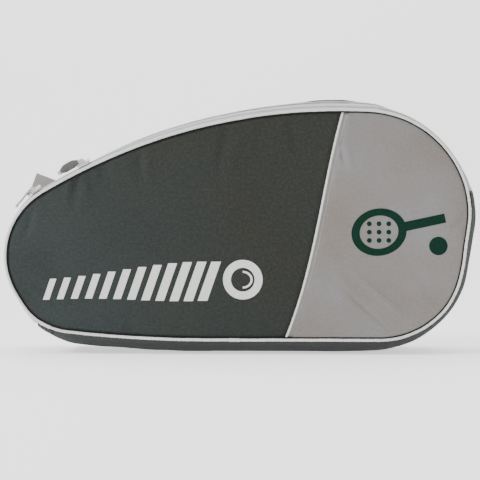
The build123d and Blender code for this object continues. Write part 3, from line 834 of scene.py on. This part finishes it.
def on_paddle(along, across):
    """A point of the printed paddle, measured from the middle of its head."""
    return (HEAD_X + along * cos(PADDLE_TURN) - across * sin(PADDLE_TURN),
            HEAD_Z + along * sin(PADDLE_TURN) + across * cos(PADDLE_TURN))


mark = [ring_shape(HEAD_X, HEAD_Z, 30.0, 25.5, 0.70, PADDLE_TURN)]
for i in range(-1, 2):
    for k in range(-1, 2):
        mark.append(ring_shape(HEAD_X + i * 10.5, HEAD_Z + k * 9.0, 2.6, 2.6, 0.05, steps=20, layers=2))
mark.append([[on_paddle(29.0 + 44.0 * i / 8, -5.0 + 10.0 * k / 3) for k in range(4)] for i in range(9)])
mark.append(ring_shape(216.0, 118.0, 10.0, 10.0, 0.02, steps=48, layers=5))
pictogram = decal("paddle_mark_print", mark, True, GREEN)

for obj in (dark, light, div_cord, div_strip, front_pipe, piping_painted_shadow, tape_flange, print_band, pictogram):
    across_fold(obj)

# ---------------------------------------------------------------- sewing helpers
def stroke(p, q, parts):
    """Even points on the straight line from p to q, both ends included."""
    return [(p[0] + (q[0] - p[0]) * k / parts, p[1] + (q[1] - p[1]) * k / parts) for k in range(parts + 1)]


def stitches(name, rows, body, mat, length=3.0, gap=1.5, radius=0.3):
    """Short raised threads along rows of (point, out direction)."""
    verts, faces, uvs = [], [], []
    for path in rows:
        walked, at = 0.0, 0.0
        for (p, out), (q, _) in zip(path[:-1], path[1:]):
            step = dist(p, q)
            while at < walked + step:
                t = (at - walked) / step
                centre = Vector(p).lerp(Vector(q), t)
                along = (Vector(q) - Vector(p)).normalized()
                up = Vector(out).normalized()
                side = along.cross(up).normalized()
                b = len(verts)
                for f, w, h in ((-0.5, 0.35, -0.2), (-0.3, 1.0, 0.75), (0.3, 1.0, 0.75), (0.5, 0.35, -0.2)):
                    for k in range(5):
                        a = pi * k / 4
                        r = radius * w
                        v = centre + along * (f * length) + side * (r * cos(a)) + up * (radius * h * sin(a))
                        verts.append(tuple(v))
                        uvs.append((v.x / 10, v.z / 10))
                for i in range(3):
                    for k in range(4):
                        c = b + i * 5 + k
                        faces.append((c, c + 1, c + 6, c + 5))
                at += length + gap
            walked += step
    return settle(mesh_object(name, verts, faces, uvs), mat, body)


def ribbon(name, path, width, thickness, mat, body, sides=8, ends=None):
    """A flat strap along (point, out direction); ends(f) may shape its width at share f of its length."""
    verts, uvs = [], []
    run = 0.0
    count = len(path)
    for i, (p, out) in enumerate(path):
        before, after = path[max(i - 1, 0)][0], path[min(i + 1, count - 1)][0]
        along = (Vector(after) - Vector(before)).normalized()
        up = Vector(out).normalized()
        side = along.cross(up).normalized()
        up = side.cross(along).normalized()
        if i:
            run += dist(p, path[i - 1][0])
        half = width / 2 * (ends(i / (count - 1)) if ends else 1.0)
        ring = []
        for k in range(sides + 1):
            w = -1 + 2 * k / sides
            ring.append((w * half, thickness / 2 * (1 - 0.45 * w**6)))
        for k in range(sides, -1, -1):
            w = -1 + 2 * k / sides
            ring.append((w * half, -thickness / 2 * (1 - 0.45 * w**6)))
        for w, h in ring:
            verts.append(tuple(Vector(p) + side * w + up * h))
            uvs.append((run / 10, w / 10))
    per = 2 * (sides + 1)
    faces = grid_faces(count, per, wrap_cols=True)
    faces.append(tuple(reversed(range(per))))
    faces.append(tuple((count - 1) * per + k for k in range(per)))
    obj = mesh_object(name, verts, faces, uvs)
    obj.modifiers.new("edge", "EDGE_SPLIT").split_angle = radians(50)
    return settle(obj, mat, body)


# ---------------------------------------------------------------- padded pieces
SETTLE_FRAMES = 20


def inflate(obj, voxel, cap, pressure=4.0):
    """Lets cloth pressure fill a closed form, then keeps every point within cap of where it was."""
    remesh = obj.modifiers.new("remesh", "REMESH")
    remesh.mode = "VOXEL"
    remesh.voxel_size = voxel * MM
    bake(obj)
    before = np.array([tuple(v.co) for v in obj.data.vertices])
    cloth_mod = obj.modifiers.new("filling", "CLOTH")
    settings = cloth_mod.settings
    settings.quality = 5
    settings.use_pressure = True
    settings.uniform_pressure_force = pressure
    settings.effector_weights.gravity = 0.0
    settings.tension_stiffness = 25
    settings.compression_stiffness = 25
    cloth_mod.collision_settings.use_collision = False
    cloth_mod.point_cache.frame_start = 1
    cloth_mod.point_cache.frame_end = SETTLE_FRAMES
    for number in range(1, SETTLE_FRAMES + 1):
        bpy.context.scene.frame_set(number)
    seen = obj.evaluated_get(bpy.context.evaluated_depsgraph_get())
    after = np.array([tuple(v.co) for v in seen.data.vertices])
    obj.modifiers.remove(cloth_mod)
    bpy.context.scene.frame_set(1)
    move = after - before
    far = np.linalg.norm(move, axis=1, keepdims=True)
    keep = np.minimum(1.0, cap * MM / np.maximum(far, 1e-9))
    obj.data.vertices.foreach_set("co", (before + move * keep).ravel())
    sub = obj.modifiers.new("smooth", "SUBSURF")
    sub.levels = 1
    sub.render_levels = 1
    bake(obj)
    return obj


def bake(obj):
    """Turns a piece's modifiers into its own mesh."""
    seen = obj.evaluated_get(bpy.context.evaluated_depsgraph_get())
    mesh = bpy.data.meshes.new_from_object(seen)
    obj.modifiers.clear()
    obj.data = mesh
    mesh.polygons.foreach_set("use_smooth", [True] * len(mesh.polygons))


def reshape(obj, change):
    """Moves every point of a finished mesh; change takes and gives millimetres."""
    for v in obj.data.vertices:
        x, y, z = change(v.co.x / MM, v.co.y / MM, v.co.z / MM)
        v.co = (x * MM, y * MM, z * MM)
    obj.data.update()


REAR_FACE = 77.0  # outside of the rear cloth
STRAP_MID = BASE + 0.5 * SEAM_H  # height half way between the two straps
SPREAD = 0.145 * SEAM_H  # how far each strap pad's ends lie from there
ROOT_X, TIP_X = 0.36 * SEAM_L, -0.10 * SEAM_L
PAD_WIDTH, PAD_THICKNESS = 56.0, 6.6
PAD_MID = REAR_FACE + 6.6  # height of the binding round a pad
QUILT_PITCH = 26.0


def pad_line(side):
    """Circle through the root, crest and tip of a strap pad: centre, radius, first and last angle."""
    x1, z1 = ROOT_X, STRAP_MID + side * SPREAD
    x2, z2 = 0.12 * SEAM_L, STRAP_MID + side * 1.45 * SPREAD
    x3, z3 = TIP_X, STRAP_MID + side * SPREAD
    m = np.array([[x2 - x1, z2 - z1], [x3 - x1, z3 - z1]])
    v = np.array([(x2**2 + z2**2 - x1**2 - z1**2) / 2, (x3**2 + z3**2 - x1**2 - z1**2) / 2])
    cx, cz = np.linalg.solve(m, v)
    radius = dist((cx, cz), (x1, z1))
    a = atan2(z1 - cz, x1 - cx)
    b = atan2(z3 - cz, x3 - cx)
    if side > 0:
        b = b % (2 * pi)
        a = a % (2 * pi)
    return (float(cx), float(cz)), radius, a, b


def pad_frame(side, count, reach):
    """Points along the middle of a pad and reach past its ends, with the direction across it."""
    (cx, cz), radius, a, b = pad_line(side)
    extra = reach / radius * (1 if b > a else -1)
    rows = []
    for i in range(count + 1):
        t = a - extra + (b - a + 2 * extra) * i / count
        rows.append((cx + radius * cos(t), cz + radius * sin(t), cos(t), sin(t)))
    return rows


def round_end(end, least):
    """Share of a pad's half width at a distance from its round end."""
    return sqrt(max(1 - max(1 - end / (PAD_WIDTH / 2), 0.0) ** 2, least))


def strap_pad(side, name):
    """Filled and quilted pad with its binding and its rows of thread."""
    steps, round_about = 72, 20
    rows = pad_frame(side, steps, PAD_WIDTH / 2)
    length = dist(rows[0][:2], rows[1][:2]) * steps
    ends = [min(i / steps * length, length - i / steps * length) for i in range(steps + 1)]
    verts = []
    for end, (x, z, ax, az) in zip(ends, rows):
        half = PAD_WIDTH / 2 * round_end(end, 0.004)
        for k in range(round_about):
            w = 2 * pi * k / round_about
            u = cos(w)
            flat = abs(sin(w)) ** 0.55 * (1 if sin(w) > 0 else -1)
            y = REAR_FACE + 6.8 + flat * PAD_THICKNESS / 2 * min(1.0, 0.35 + end / 9.0)
            verts.append((x + u * half * ax, y, z + u * half * az))
    faces = grid_faces(len(rows), round_about, wrap_cols=True)
    faces.append(tuple(range(round_about)))
    faces.append(tuple(len(verts) - 1 - k for k in range(round_about)))
    obj = mesh_object(name, verts, faces)
    inflate(obj, 4.0, 2.2)
    (cx, cz), radius, a, b = pad_line(side)
    total = radius * abs(b - a)
    way = 1 if b > a else -1
    low, high = REAR_FACE + 2.6, REAR_FACE + 12.7

    def quilt(x, y, z):
        """Presses the channels and the rim into the rear side of the pad."""
        along = abs(atan2(z - cz, x - cx) % (2 * pi) - a % (2 * pi)) * radius
        over = dist((x, z), (cx, cz)) - radius
        up = smooth((y - REAR_FACE - 6.4) / 2.0)
        channel = 0.0
        if 8 < along < total - 8:
            channel = exp(-(((along + QUILT_PITCH / 2) % QUILT_PITCH - QUILT_PITCH / 2) / 2.2) ** 2)
        rim = exp(-((abs(over) - 20.5) / 1.8) ** 2)
        y -= up * (1.9 * channel * smooth((24 - abs(over)) / 6) + 1.2 * rim)
        y += up * 0.5 * value(x / 9.0, z / 9.0, 4.0)
        return x, min(max(y, low), high), z

    reshape(obj, quilt)
    settle(obj, PAD, "shell")

    halves = [(PAD_WIDTH / 2 + 0.5) * round_end(end, 0.0) for end in ends]
    loop = [(x + ax * h, PAD_MID, z + az * h) for (x, z, ax, az), h in zip(rows, halves)]
    loop += reversed([(x - ax * h, PAD_MID, z - az * h) for (x, z, ax, az), h in zip(rows, halves)])
    clean = [loop[0]]
    for p in loop[1:]:
        if dist(p, clean[-1]) > 0.8:
            clean.append(p)
    if dist(clean[0], clean[-1]) < 0.8:
        clean.pop()
    path = [(p, (0, 1, 0)) for p in clean]
    settle(tube(name + "_edge_binding", path, 1.5, 8, True, twist), TAB, "shell")

    lines = []
    for g in (1, -1):
        inner = [(x + g * ax * (h - 7.2), z + g * az * (h - 7.2))
                 for (x, z, ax, az), h in zip(rows, halves) if h - 7.2 > 2]
        lines.append(inner)
    for n in range(1, int(total / QUILT_PITCH) + 1):
        t = a + QUILT_PITCH * n / radius * way
        lines.append([(cx + (radius + k) * cos(t), cz + (radius + k) * sin(t)) for k in range(-20, 21, 4)])
    mesh = obj.data
    tree = BVHTree.FromPolygons([v.co[:] for v in mesh.vertices], [p.vertices[:] for p in mesh.polygons])
    laid = [[((x, top_of(tree, x, z) + 0.05, z), (0, 1, 0)) for x, z in line] for line in lines]
    stitches(name + "_thread", laid, "shell", DARK_THREAD, 2.6, 1.4, 0.3)
    return obj


def top_of(tree, x, z):
    """Depth y of the rearmost surface of a finished mesh at x, z, in millimetres."""
    hit = tree.ray_cast(Vector((x * MM, 0.2, z * MM)), Vector((0, -1, 0)))
    return hit[0].y / MM if hit[0] else REAR_FACE + 6.0


for side, name in ((1, "strap_pad_upper"), (-1, "strap_pad_lower")):
    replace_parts(strap_pad(side, name + "_cushion"), name)


# ---------------------------------------------------------------- yoke between the pads
def rounded_box(cx, cz, w, h, corner, inset=0.0, per=10):
    """Closed line of points round a box with round corners, moved in by inset."""
    pts = []
    for qx, qz, a0 in ((1, 1, 0), (-1, 1, pi / 2), (-1, -1, pi), (1, -1, 3 * pi / 2)):
        for k in range(per + 1):
            a = a0 + pi / 2 * k / per
            pts.append((cx + qx * (w / 2 - corner) + (corner - inset) * cos(a),
                        cz + qz * (h / 2 - corner) + (corner - inset) * sin(a)))
    return pts


def filled(pts, step=3.0):
    """The same closed line with points no further apart than step."""
    out = []
    for p, q in zip(pts, pts[1:] + pts[:1]):
        out += stroke(p, q, max(int(dist(p, q) / step), 1))[:-1]
    return out


def yoke_patch(rings=14):
    """Padded patch that both pads are sewn to, with two rows of thread round it."""
    middle = ROOT_X + 58.0 / 6
    box = (middle, STRAP_MID, 57.0, 2 * SPREAD + 57.0, 9.5)
    loop = filled(rounded_box(*box))
    verts, uvs = [], []
    for ring in range(rings + 1):
        t = ring / rings
        for x0, z0 in loop:
            x, z = middle + (x0 - middle) * t, STRAP_MID + (z0 - STRAP_MID) * t
            y = REAR_FACE + 0.3 + 1.9 * (1 - t**10) + 0.25 * value(x / 12, z / 12, 2.0)
            verts.append((x, y, z))
            uvs.append((x / 10, z / 10))
    faces = [tuple(reversed(f)) for f in grid_faces(rings + 1, len(loop), wrap_cols=True)]
    yoke = settle(mesh_object("strap_yoke_patch", verts, faces, uvs), PAD, "shell", "strap_yoke")
    thread = []
    for inset in (3.2, 6.0):
        line = filled(rounded_box(*box, inset), 2.0)
        thread.append([((x, REAR_FACE + 2.35, z), (0, 1, 0)) for x, z in line + line[:1]])
    stitches("strap_yoke_thread", thread, "shell", DARK_THREAD, 2.6, 1.4, 0.3)


yoke_patch()

# ---------------------------------------------------------------- webbing straps
LOCK_X = -0.335 * SEAM_L
LOCK_Z = 0.09 * SEAM_H
WEBBING_WIDTH = 25.0



def strap_line(points, y, sag, step=3.0, easings=6):
    """Points a few millimetres apart along a polyline whose bends are eased; sag(f) lifts them off y."""
    dense = []
    for p, q in zip(points[:-1], points[1:]):
        dense += stroke(p, q, max(int(dist(p, q) / step), 1))[:-1]
    dense.append(points[-1])
    for _ in range(easings):
        dense = [dense[0]] + [((a[0] + 2 * b[0] + c[0]) / 4, (a[1] + 2 * b[1] + c[1]) / 4)
                              for a, b, c in zip(dense[:-2], dense[1:-1], dense[2:])] + [dense[-1]]
    last = len(dense) - 1
    return [((x, y + sag(i / last), z), (0, 1, 0)) for i, (x, z) in enumerate(dense)]


def box_rows(cx, cz, w, h, turn, y):
    """A sewn box with a cross in it."""
    c, s = cos(turn), sin(turn)
    pts = [(-w / 2, -h / 2), (w / 2, -h / 2), (w / 2, h / 2), (-w / 2, h / 2), (-w / 2, -h / 2)]
    at = [(cx + px * c - pz * s, cz + px * s + pz * c) for px, pz in pts]
    lines = [at[:2], at[1:3], at[2:4], at[3:5], [at[0], at[2]], [at[1], at[3]]]
    return [[((x, y, z), (0, 1, 0)) for x, z in stroke(p, q, max(int(dist(p, q) / 2), 1))] for p, q in lines]


def ripple_of(depth, waves):
    return lambda f: 0.35 + depth * sin(f * pi * waves)


def folded_tip(f):
    """Share of the upper tail's width, a little wider where its end is folded back."""
    return 1.0 if f < 0.75 else 1.0 + 0.06 * smooth((f - 0.75) / 0.2)


def strap(side, name, tip, sag, swell):
    """Webbing from a pad through its ladder lock to its hemmed tail, and the anchor that holds the lock."""
    start = (TIP_X - 58.0 / 3 - 6.5, STRAP_MID + side * (SPREAD - 0.2))
    lock = (LOCK_X, STRAP_MID + side * LOCK_Z)
    tail = strap_line([start, lock, tip], REAR_FACE + 7.5, sag)
    piece = ribbon("strap_webbing_" + name + "_strap", tail, WEBBING_WIDTH, 1.7, WEBBING, "shell", 12, swell)
    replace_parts(piece, "strap_webbing_" + name)

    p, q = tail[-5][0], tail[-1][0]
    heading = atan2(q[2] - p[2], q[0] - p[0])
    ux, uz = cos(heading), sin(heading)
    hem = [((q[0] - ux * (11 * f + 0.3), q[1] + 1.15, q[2] - uz * (11 * f + 0.3)), (0, 1, 0))
           for f in (1, 0.66, 0.33, 0.0)]
    ribbon("strap_tail_hem_" + name, hem, WEBBING_WIDTH - 0.6, 1.2, WEBBING, "shell", 10)
    rows = []
    for back in (2.2, 8.6):
        cx, cz = q[0] - ux * back, q[2] - uz * back
        rows.append([((cx - uz * w, q[1] + 1.8, cz + ux * w), (0, 1, 0)) for w in np.linspace(-10.5, 10.5, 9)])
    stitches("strap_tail_thread_" + name, rows, "shell", THREAD, 2.2, 1.1, 0.3)

    end = (-0.415 * SEAM_L, STRAP_MID + side * 0.075 * SEAM_H)
    held = strap_line([(LOCK_X - 27.0 / 8, lock[1]), end], REAR_FACE + 0.95, lambda f: 0.1 * sin(f * pi))
    anchor = ribbon("strap_anchor_" + name + "_strap", held, WEBBING_WIDTH, 1.6, WEBBING, "shell", 12)
    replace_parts(anchor, "strap_anchor_" + name)
    heading = atan2(end[1] - lock[1], end[0] - LOCK_X)
    mid = (end[0] - 10.5 * cos(heading), end[1] - 10.5 * sin(heading))
    rows = box_rows(mid[0], mid[1], 15.0, 19.0, heading, REAR_FACE + 1.85)
    stitches("strap_anchor_thread_" + name, rows, "shell", THREAD, 2.2, 1.1, 0.3)
    wear(nodes["ladder_lock_" + name], BUCKLE)


strap(1, "upper", (-257.0, STRAP_MID + 0.222 * SEAM_H), ripple_of(0.5, 3), folded_tip)
strap(-1, "lower", (-0.41 * SEAM_L, STRAP_MID - 0.14 * SEAM_H), ripple_of(0.4, 2.6), None)

# ---------------------------------------------------------------- hang loop
TOP_END = distance_to(8, 1.0)  # where the long top arc meets the slope to the narrow end
lx, lz, lnx, lnz = seam_at(TOP_END - 58.0)
lx, lz = lx - 6.0 * lnx, lz - 6.0 * lnz
ltx, ltz = -lnz, lnx
LOOP_Y = REAR_FACE + 6.6
LOOP_LEAN = radians(150.0)
LOOP_LENGTH = 39.5
EYE_RADIUS = 3.6


def loop_point(a, b):
    """A point of the loop's outline: a along its length, b across its thickness."""
    n = a * cos(LOOP_LEAN) - b * sin(LOOP_LEAN)
    y = a * sin(LOOP_LEAN) + b * cos(LOOP_LEAN)
    return (lx + n * lnx, LOOP_Y + y, lz + n * lnz)


def leg_gap(f):
    """Half the gap between the loop's two legs at share f of their length."""
    return 0.9 + 2.7 * smooth(f * 1.6)


shares = [i / 20 for i in range(21)]
outline = [(LOOP_LENGTH * f - 2.0, -leg_gap(f)) for f in shares]
for i in range(1, 12):
    a = -pi / 2 + pi * i / 12
    outline.append((LOOP_LENGTH - 2.0 + EYE_RADIUS * cos(a), EYE_RADIUS * sin(a)))
outline += [(LOOP_LENGTH * f - 2.0, leg_gap(f)) for f in reversed(shares)]
loop_path = []
for i, (a, b) in enumerate(outline):
    a0, b0 = outline[max(i - 1, 0)]
    a1, b1 = outline[min(i + 1, len(outline) - 1)]
    da, db = a1 - a0, b1 - b0
    size = sqrt(da * da + db * db)
    p0, p1 = Vector(loop_point(0, 0)), Vector(loop_point(db / size, -da / size))
    loop_path.append((loop_point(a, b), tuple(p1 - p0)))
hang = ribbon("hang_loop_strap", loop_path, 28.0, 1.5, WEBBING, "hang_loop", 10)
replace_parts(hang, "hang_loop")
across_loop = Vector((ltx, 0, ltz))
flat_out = Vector(loop_point(0, 1)) - Vector(loop_point(0, 0))
rows = []
for a in (5.0, 9.5):
    for sign in (1, -1):
        base = Vector(loop_point(a, sign * (leg_gap((a + 2) / LOOP_LENGTH) + 0.8)))
        rows.append([(tuple(base + across_loop * w), tuple(flat_out * sign)) for w in np.linspace(-12, 12, 9)])
stitches("hang_loop_thread", rows, "hang_loop", THREAD, 2.2, 1.1, 0.28)
PATCH_DROP = 2.25
patch_path = [((lx - PATCH_DROP * lnx + ltx * w, REAR_FACE + 0.95, lz - PATCH_DROP * lnz + ltz * w), (0, 1, 0))
              for w in np.linspace(-14.8, 14.8, 12)]
patch = ribbon("hang_loop_patch_tape", patch_path, 9.0, 1.5, WEBBING, "shell", 8)
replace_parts(patch, "hang_loop_patch")

# ---------------------------------------------------------------- zip end tabs
def tab_out(s, y):
    return stuffed(s, y) + 1.3 + 0.25 * value(s / 4.0, y / 4.0, 3.0)


TAB_LENGTH = 16.0
for name, s0, s1 in (("zip_end_tab_right", ZIP_START - TAB_LENGTH, ZIP_START - 0.2),
                     ("zip_end_tab_left", ZIP_STOP + 0.2, ZIP_STOP + TAB_LENGTH)):
    tab = band(name + "_fold", s0 + TOTAL, s1 + TOTAL, ZIP_Y - 6.4, ZIP_Y + 6.4, tab_out, 1.2, 10)
    settle(solidify(tab, 1.2), TAB, "shell", name)
    first, last, front, back = s0 + 1.6, s1 - 1.6, ZIP_Y - 5, ZIP_Y + 5
    rows = []
    for y0, y1, sa, sb in ((front, front, first, last), (back, back, first, last),
                           (front, back, first, first), (front, back, last, last)):
        line = []
        for k in range(9):
            s, y = sa + (sb - sa) * k / 8 + TOTAL, y0 + (y1 - y0) * k / 8
            x, z, nx, nz = seam_at(s)
            n = stuffed(s, y) + 1.6
            line.append(((x + n * nx, y, z + n * nz), (nx, 0, nz)))
        rows.append(line)
    stitches(name + "_thread", rows, "shell", THREAD, 1.8, 0.9, 0.22)

# ---------------------------------------------------------------- pulls
PLATE_LIFT = 3.7  # slider's plate above the gusset's bow
PIN_HEIGHT = 2.7  # pin's centre above that plate
PIN_OUT = bow_at(ZIP_Y) + PLATE_LIFT + PIN_HEIGHT


def pull_line(s_pin, length, upright):
    """Middle line of a pull that lies along the zip from its pin: on edge, or flat on the tape."""
    line = []
    for i in range(33):
        f = i / 32
        x, z, nx, nz = seam_at(s_pin + 1.0 + (length - 1.0) * f)
        if upright:
            n = PIN_OUT + 0.2 + 1.0 * sin(pi * f) - 1.2 * f
            facing = (0.0, -1.0, 0.0)
        else:
            n = PIN_OUT - 1.9 * smooth(f * 1.6)
            facing = (nx, 0.0, nz)
        line.append(((x + n * nx, ZIP_Y, z + n * nz), facing))
    return line


def narrow_ends(f):
    return 0.5 + 0.5 * smooth(min(f * 3.2, (1 - f) * 3.2))


def round_tip(f):
    return 1.0 if f < 0.5 else sqrt(max(1 - (2 * f - 1) ** 2, 0.12))


def pull(name, node, body, line, width, ring_width, mat, shape):
    """A pull between its moulded ring and its moulded tip."""
    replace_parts(ribbon(name, line[3:30], width, 1.6, mat, body, 8, shape), node)
    ribbon(name + "_ring", line[:5], ring_width, 2.1, ENAMEL, body, 6)
    ribbon(name + "_tip", line[28:], 5.4, 2.3, ENAMEL, body, 6, round_tip)


line_a = pull_line(TOP_END - 36.0, 30.0, True)
pull("zip_pull_a_tape", "zip_puller_a", "puller_a", line_a, 9.0, 4.6, PULL_TAPE, narrow_ends)
line_b = pull_line(distance_to(10) + 9.0, 24.0, False)
pull("zip_pull_b_tape", "zip_puller_b", "puller_b", line_b, 6.0, 4.0, ENAMEL, None)

# ---------------------------------------------------------------- piping joints and seams
for name, middle in (("front_piping_joint_left", ZIP_STOP + 9.0),
                     ("front_piping_joint_base", distance_to(15) + 25.0)):
    path = piping_path(FRONT_PIPE_Y, FRONT_PIPE_OUT, middle - 5.5, middle + 5.5, 1.0, 0.25, True)
    settle(tube(name, path, 1.95, 12, False, twist), PIPE, "shell")


def seam_row(y, s0, s1, out, step=3.0):
    """Line of thread round the gusset at depth y."""
    line = []
    count = int((s1 - s0) / step)
    for i in range(count + 1):
        s = s0 + (s1 - s0) * i / count
        x, z, nx, nz = seam_at(s)
        n = stuffed(s, y) + out
        line.append(((x + n * nx, y, max(z + n * nz, 0.6)), (nx, 0, nz)))
    return line


SEAM_THREAD_Y = HALF - 2.6
ROUND = ZIP_START + TOTAL
rows = [seam_row(-41.2, ZIP_START + 2, ZIP_STOP - 2, 0.35), seam_row(SEAM_THREAD_Y, ZIP_START, ZIP_STOP, 0.3)]
stitches("gusset_thread_upper", rows, "shell", DARK_THREAD, 2.8, 1.6, 0.32)
rows = [seam_row(-SEAM_THREAD_Y, ZIP_STOP + 2, ROUND - 2, 0.3), seam_row(SEAM_THREAD_Y, ZIP_STOP, ROUND, 0.3)]
stitches("gusset_thread_lower", rows, "shell", DARK_THREAD, 2.8, 1.6, 0.32)
rows = [seam_row(-47.0, ZIP_START + 2, ZIP_STOP - 2, 0.2)]
stitches("zip_tape_thread", rows, "shell", SEAM_THREAD, 2.4, 1.4, 0.26)

# ---------------------------------------------------------------- inside
LINING_INSET = 5.0
QUILT_SIZE = 42.0


def inside_cloth(name, y, sign, rings=44, count=420):
    """Quilted lining sheet of one side, with its quilting towards the inside; sign is the way inside."""
    loop = []
    for i in range(count):
        x, z, nx, nz = seam_at(i * TOTAL / count)
        loop.append((x - LINING_INSET * nx, z - LINING_INSET * nz))
    verts, uvs = [], []
    for ring in range(rings + 1):
        t = (ring / rings) ** 0.9
        for x0, z0 in loop:
            x, z = x0 * t, MIDDLE_Z + (z0 - MIDDLE_Z) * t
            a, b = (x + z) / QUILT_SIZE, (x - z) / QUILT_SIZE
            seam = exp(-(((a % 1.0) - 0.5) / 0.06) ** 2) + exp(-(((b % 1.0) - 0.5) / 0.06) ** 2)
            lift = 0.9 * (1 - min(seam, 1.0)) * smooth((1 - t) * 8)
            verts.append((x, y + sign * lift, z))
            uvs.append((x / 10, z / 10))
    faces = grid_faces(rings + 1, len(loop), wrap_cols=True)
    if sign > 0:
        faces = [tuple(reversed(f)) for f in faces]
    return wear(solidify(mesh_object(name, verts, faces, uvs), 3.4), LINING)


def gusset_lining_out(s, y):
    return stuffed(s, y) - 3.6 + 0.4 * value(s / 20, y / 20, 1.0)


LINING_Y = HALF - 3.8
front_inside = inside_cloth("front_lining_quilt", -LINING_Y, 1)
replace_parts(front_inside, "front_upper_lining", "front_lower_lining", "front_upper_foam", "front_lower_foam")
bake(front_inside)
across_fold(front_inside)
rear_inside = inside_cloth("rear_lining_quilt", LINING_Y, -1)
settle(rear_inside, LINING, "shell", "rear_lining", "rear_foam")
lining_low = band("bottom_gusset_lining_cloth", ZIP_STOP, ZIP_START + TOTAL, 1 - HALF, HALF - 1,
                  gusset_lining_out, 4.0, 24)
settle(lining_low, LINING, "shell", "bottom_gusset_lining")
lining_top = band("top_gusset_lining_cloth", ZIP_START, ZIP_STOP, -43.0, HALF - 1, gusset_lining_out, 4.0, 20)
settle(lining_top, LINING, "shell", "top_gusset_lining")

POCKET_LEFT, POCKET_LENGTH = -0.34 * SEAM_L, 0.64 * SEAM_L
POCKET_FOOT, POCKET_TOP = 34.0, BASE + 0.55 * SEAM_H


def pocket_cloth(rows=34, cols=60):
    """Flat pocket panel, open along its upper edge; its foot keeps clear of the case's lower seam."""
    verts, uvs = [], []
    feet = []
    for k in range(cols + 1):
        x, foot = POCKET_LEFT + POCKET_LENGTH * k / cols, POCKET_FOOT
        while edge_depth(x, foot, REAR_EDGE)[0] < 11.5 and foot < 90:
            foot += 1.0
        feet.append((x, foot))
    for i in range(rows + 1):
        for k, (x, foot) in enumerate(feet):
            z = foot + (POCKET_TOP - foot) * i / rows
            gape = 0.5 * smooth(i / rows * 1.4 - 0.4) * (0.6 + 0.4 * sin(k / cols * pi))
            verts.append((x, HALF - 5.1 - gape + 0.25 * value(x / 25, z / 25, 3.3), z))
            uvs.append((x / 10, z / 10))
    return mesh_object("inner_pocket_cloth", verts, grid_faces(rows + 1, cols + 1), uvs)


pocket = settle(pocket_cloth(), POCKET, "shell", "inner_pocket")
hem_path = [((POCKET_LEFT + POCKET_LENGTH * k / 80, 69.2, POCKET_TOP - 2.6), (0, -1, 0)) for k in range(81)]
hem = ribbon("inner_pocket_hem", hem_path, 5.2, 0.8, TAB, "shell", 6)
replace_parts(hem, "inner_pocket_binding")

# ---------------------------------------------------------------- CAD pieces that show as they are
for name, mat in (("zip_slider_a", ENAMEL), ("zip_slider_b", ENAMEL), ("base_board", BOARD)):
    wear(nodes[name], mat)
for name in ("zip_slider_a", "zip_slider_b", "ladder_lock_upper", "ladder_lock_lower"):
    bevel = nodes[name].modifiers.new("soft_edges", "BEVEL")
    bevel.width = 0.35 * MM
    bevel.segments = 3
    bevel.limit_method = "ANGLE"

# ---------------------------------------------------------------- studio
floor_mat = solid("studio_floor", (0.86, 0.86, 0.86), (0.84, 0.84, 0.845), 0.9, scale=0.2, bump=0.02)
glow = floor_mat.node_tree.nodes["Principled BSDF"]
socket(glow, "Emission Color", (1, 1, 1, 1))
socket(glow, "Emission Strength", 0.9)
SWEEP = 900  # radius of the bend between floor and wall, and how far behind the case it starts
bend = [(SWEEP * sin(pi / 2 * i / 24), SWEEP - SWEEP * cos(pi / 2 * i / 24)) for i in range(25)]
profile = [(-3000, 0.0), (0.0, 0.0)] + bend + [(SWEEP, 4000)]
verts = [(x, y + SWEEP, z - 0.05) for y, z in profile for x in (-5000, 5000)]
floor = wear(mesh_object("studio_sweep", verts, grid_faces(len(profile), 2)), floor_mat)


def lamp(name, place, target, size, power):
    data = bpy.data.lights.new(name, "AREA")
    data.shape = "RECTANGLE"
    data.size, data.size_y = size
    data.energy = power
    obj = bpy.data.objects.new(name, data)
    obj.location = place
    obj.rotation_euler = (Vector(target) - Vector(place)).to_track_quat("-Z", "Y").to_euler()
    bpy.context.scene.collection.objects.link(obj)


lamp("key", (-1.6, -1.25, 1.5), (0, 0, 0.13), (0.9, 0.8), 56)
lamp("fill", (1.6, -1.8, 0.7), (0, 0, 0.13), (1.6, 1.4), 15)
lamp("top", (0, 0.3, 2.2), (0, 0, 0.1), (2.4, 1.8), 34)
lamp("rear", (0.4, 2.0, 1.4), (0, 0, 0.13), (1.8, 1.2), 18)
world = bpy.data.worlds.new("studio_air")
world.use_nodes = True
world.node_tree.nodes["Background"].inputs[0].default_value = (1, 1, 1, 1)
world.node_tree.nodes["Background"].inputs[1].default_value = 0.45
bpy.context.scene.world = world

target = Vector((-0.0013, 0.0, 0.126))
azimuth, elevation, reach = radians(2.0), radians(-1.0), 1.5
camera_data = bpy.data.cameras.new("camera")
camera_data.lens = 98.0
camera_data.sensor_width = 36.0
camera = bpy.data.objects.new("camera", camera_data)
away = Vector((sin(azimuth) * cos(elevation), -cos(azimuth) * cos(elevation), sin(elevation)))
camera.location = target + away * reach
camera.rotation_euler = (-away).to_track_quat("-Z", "Y").to_euler()
bpy.context.scene.collection.objects.link(camera)
bpy.context.scene.camera = camera
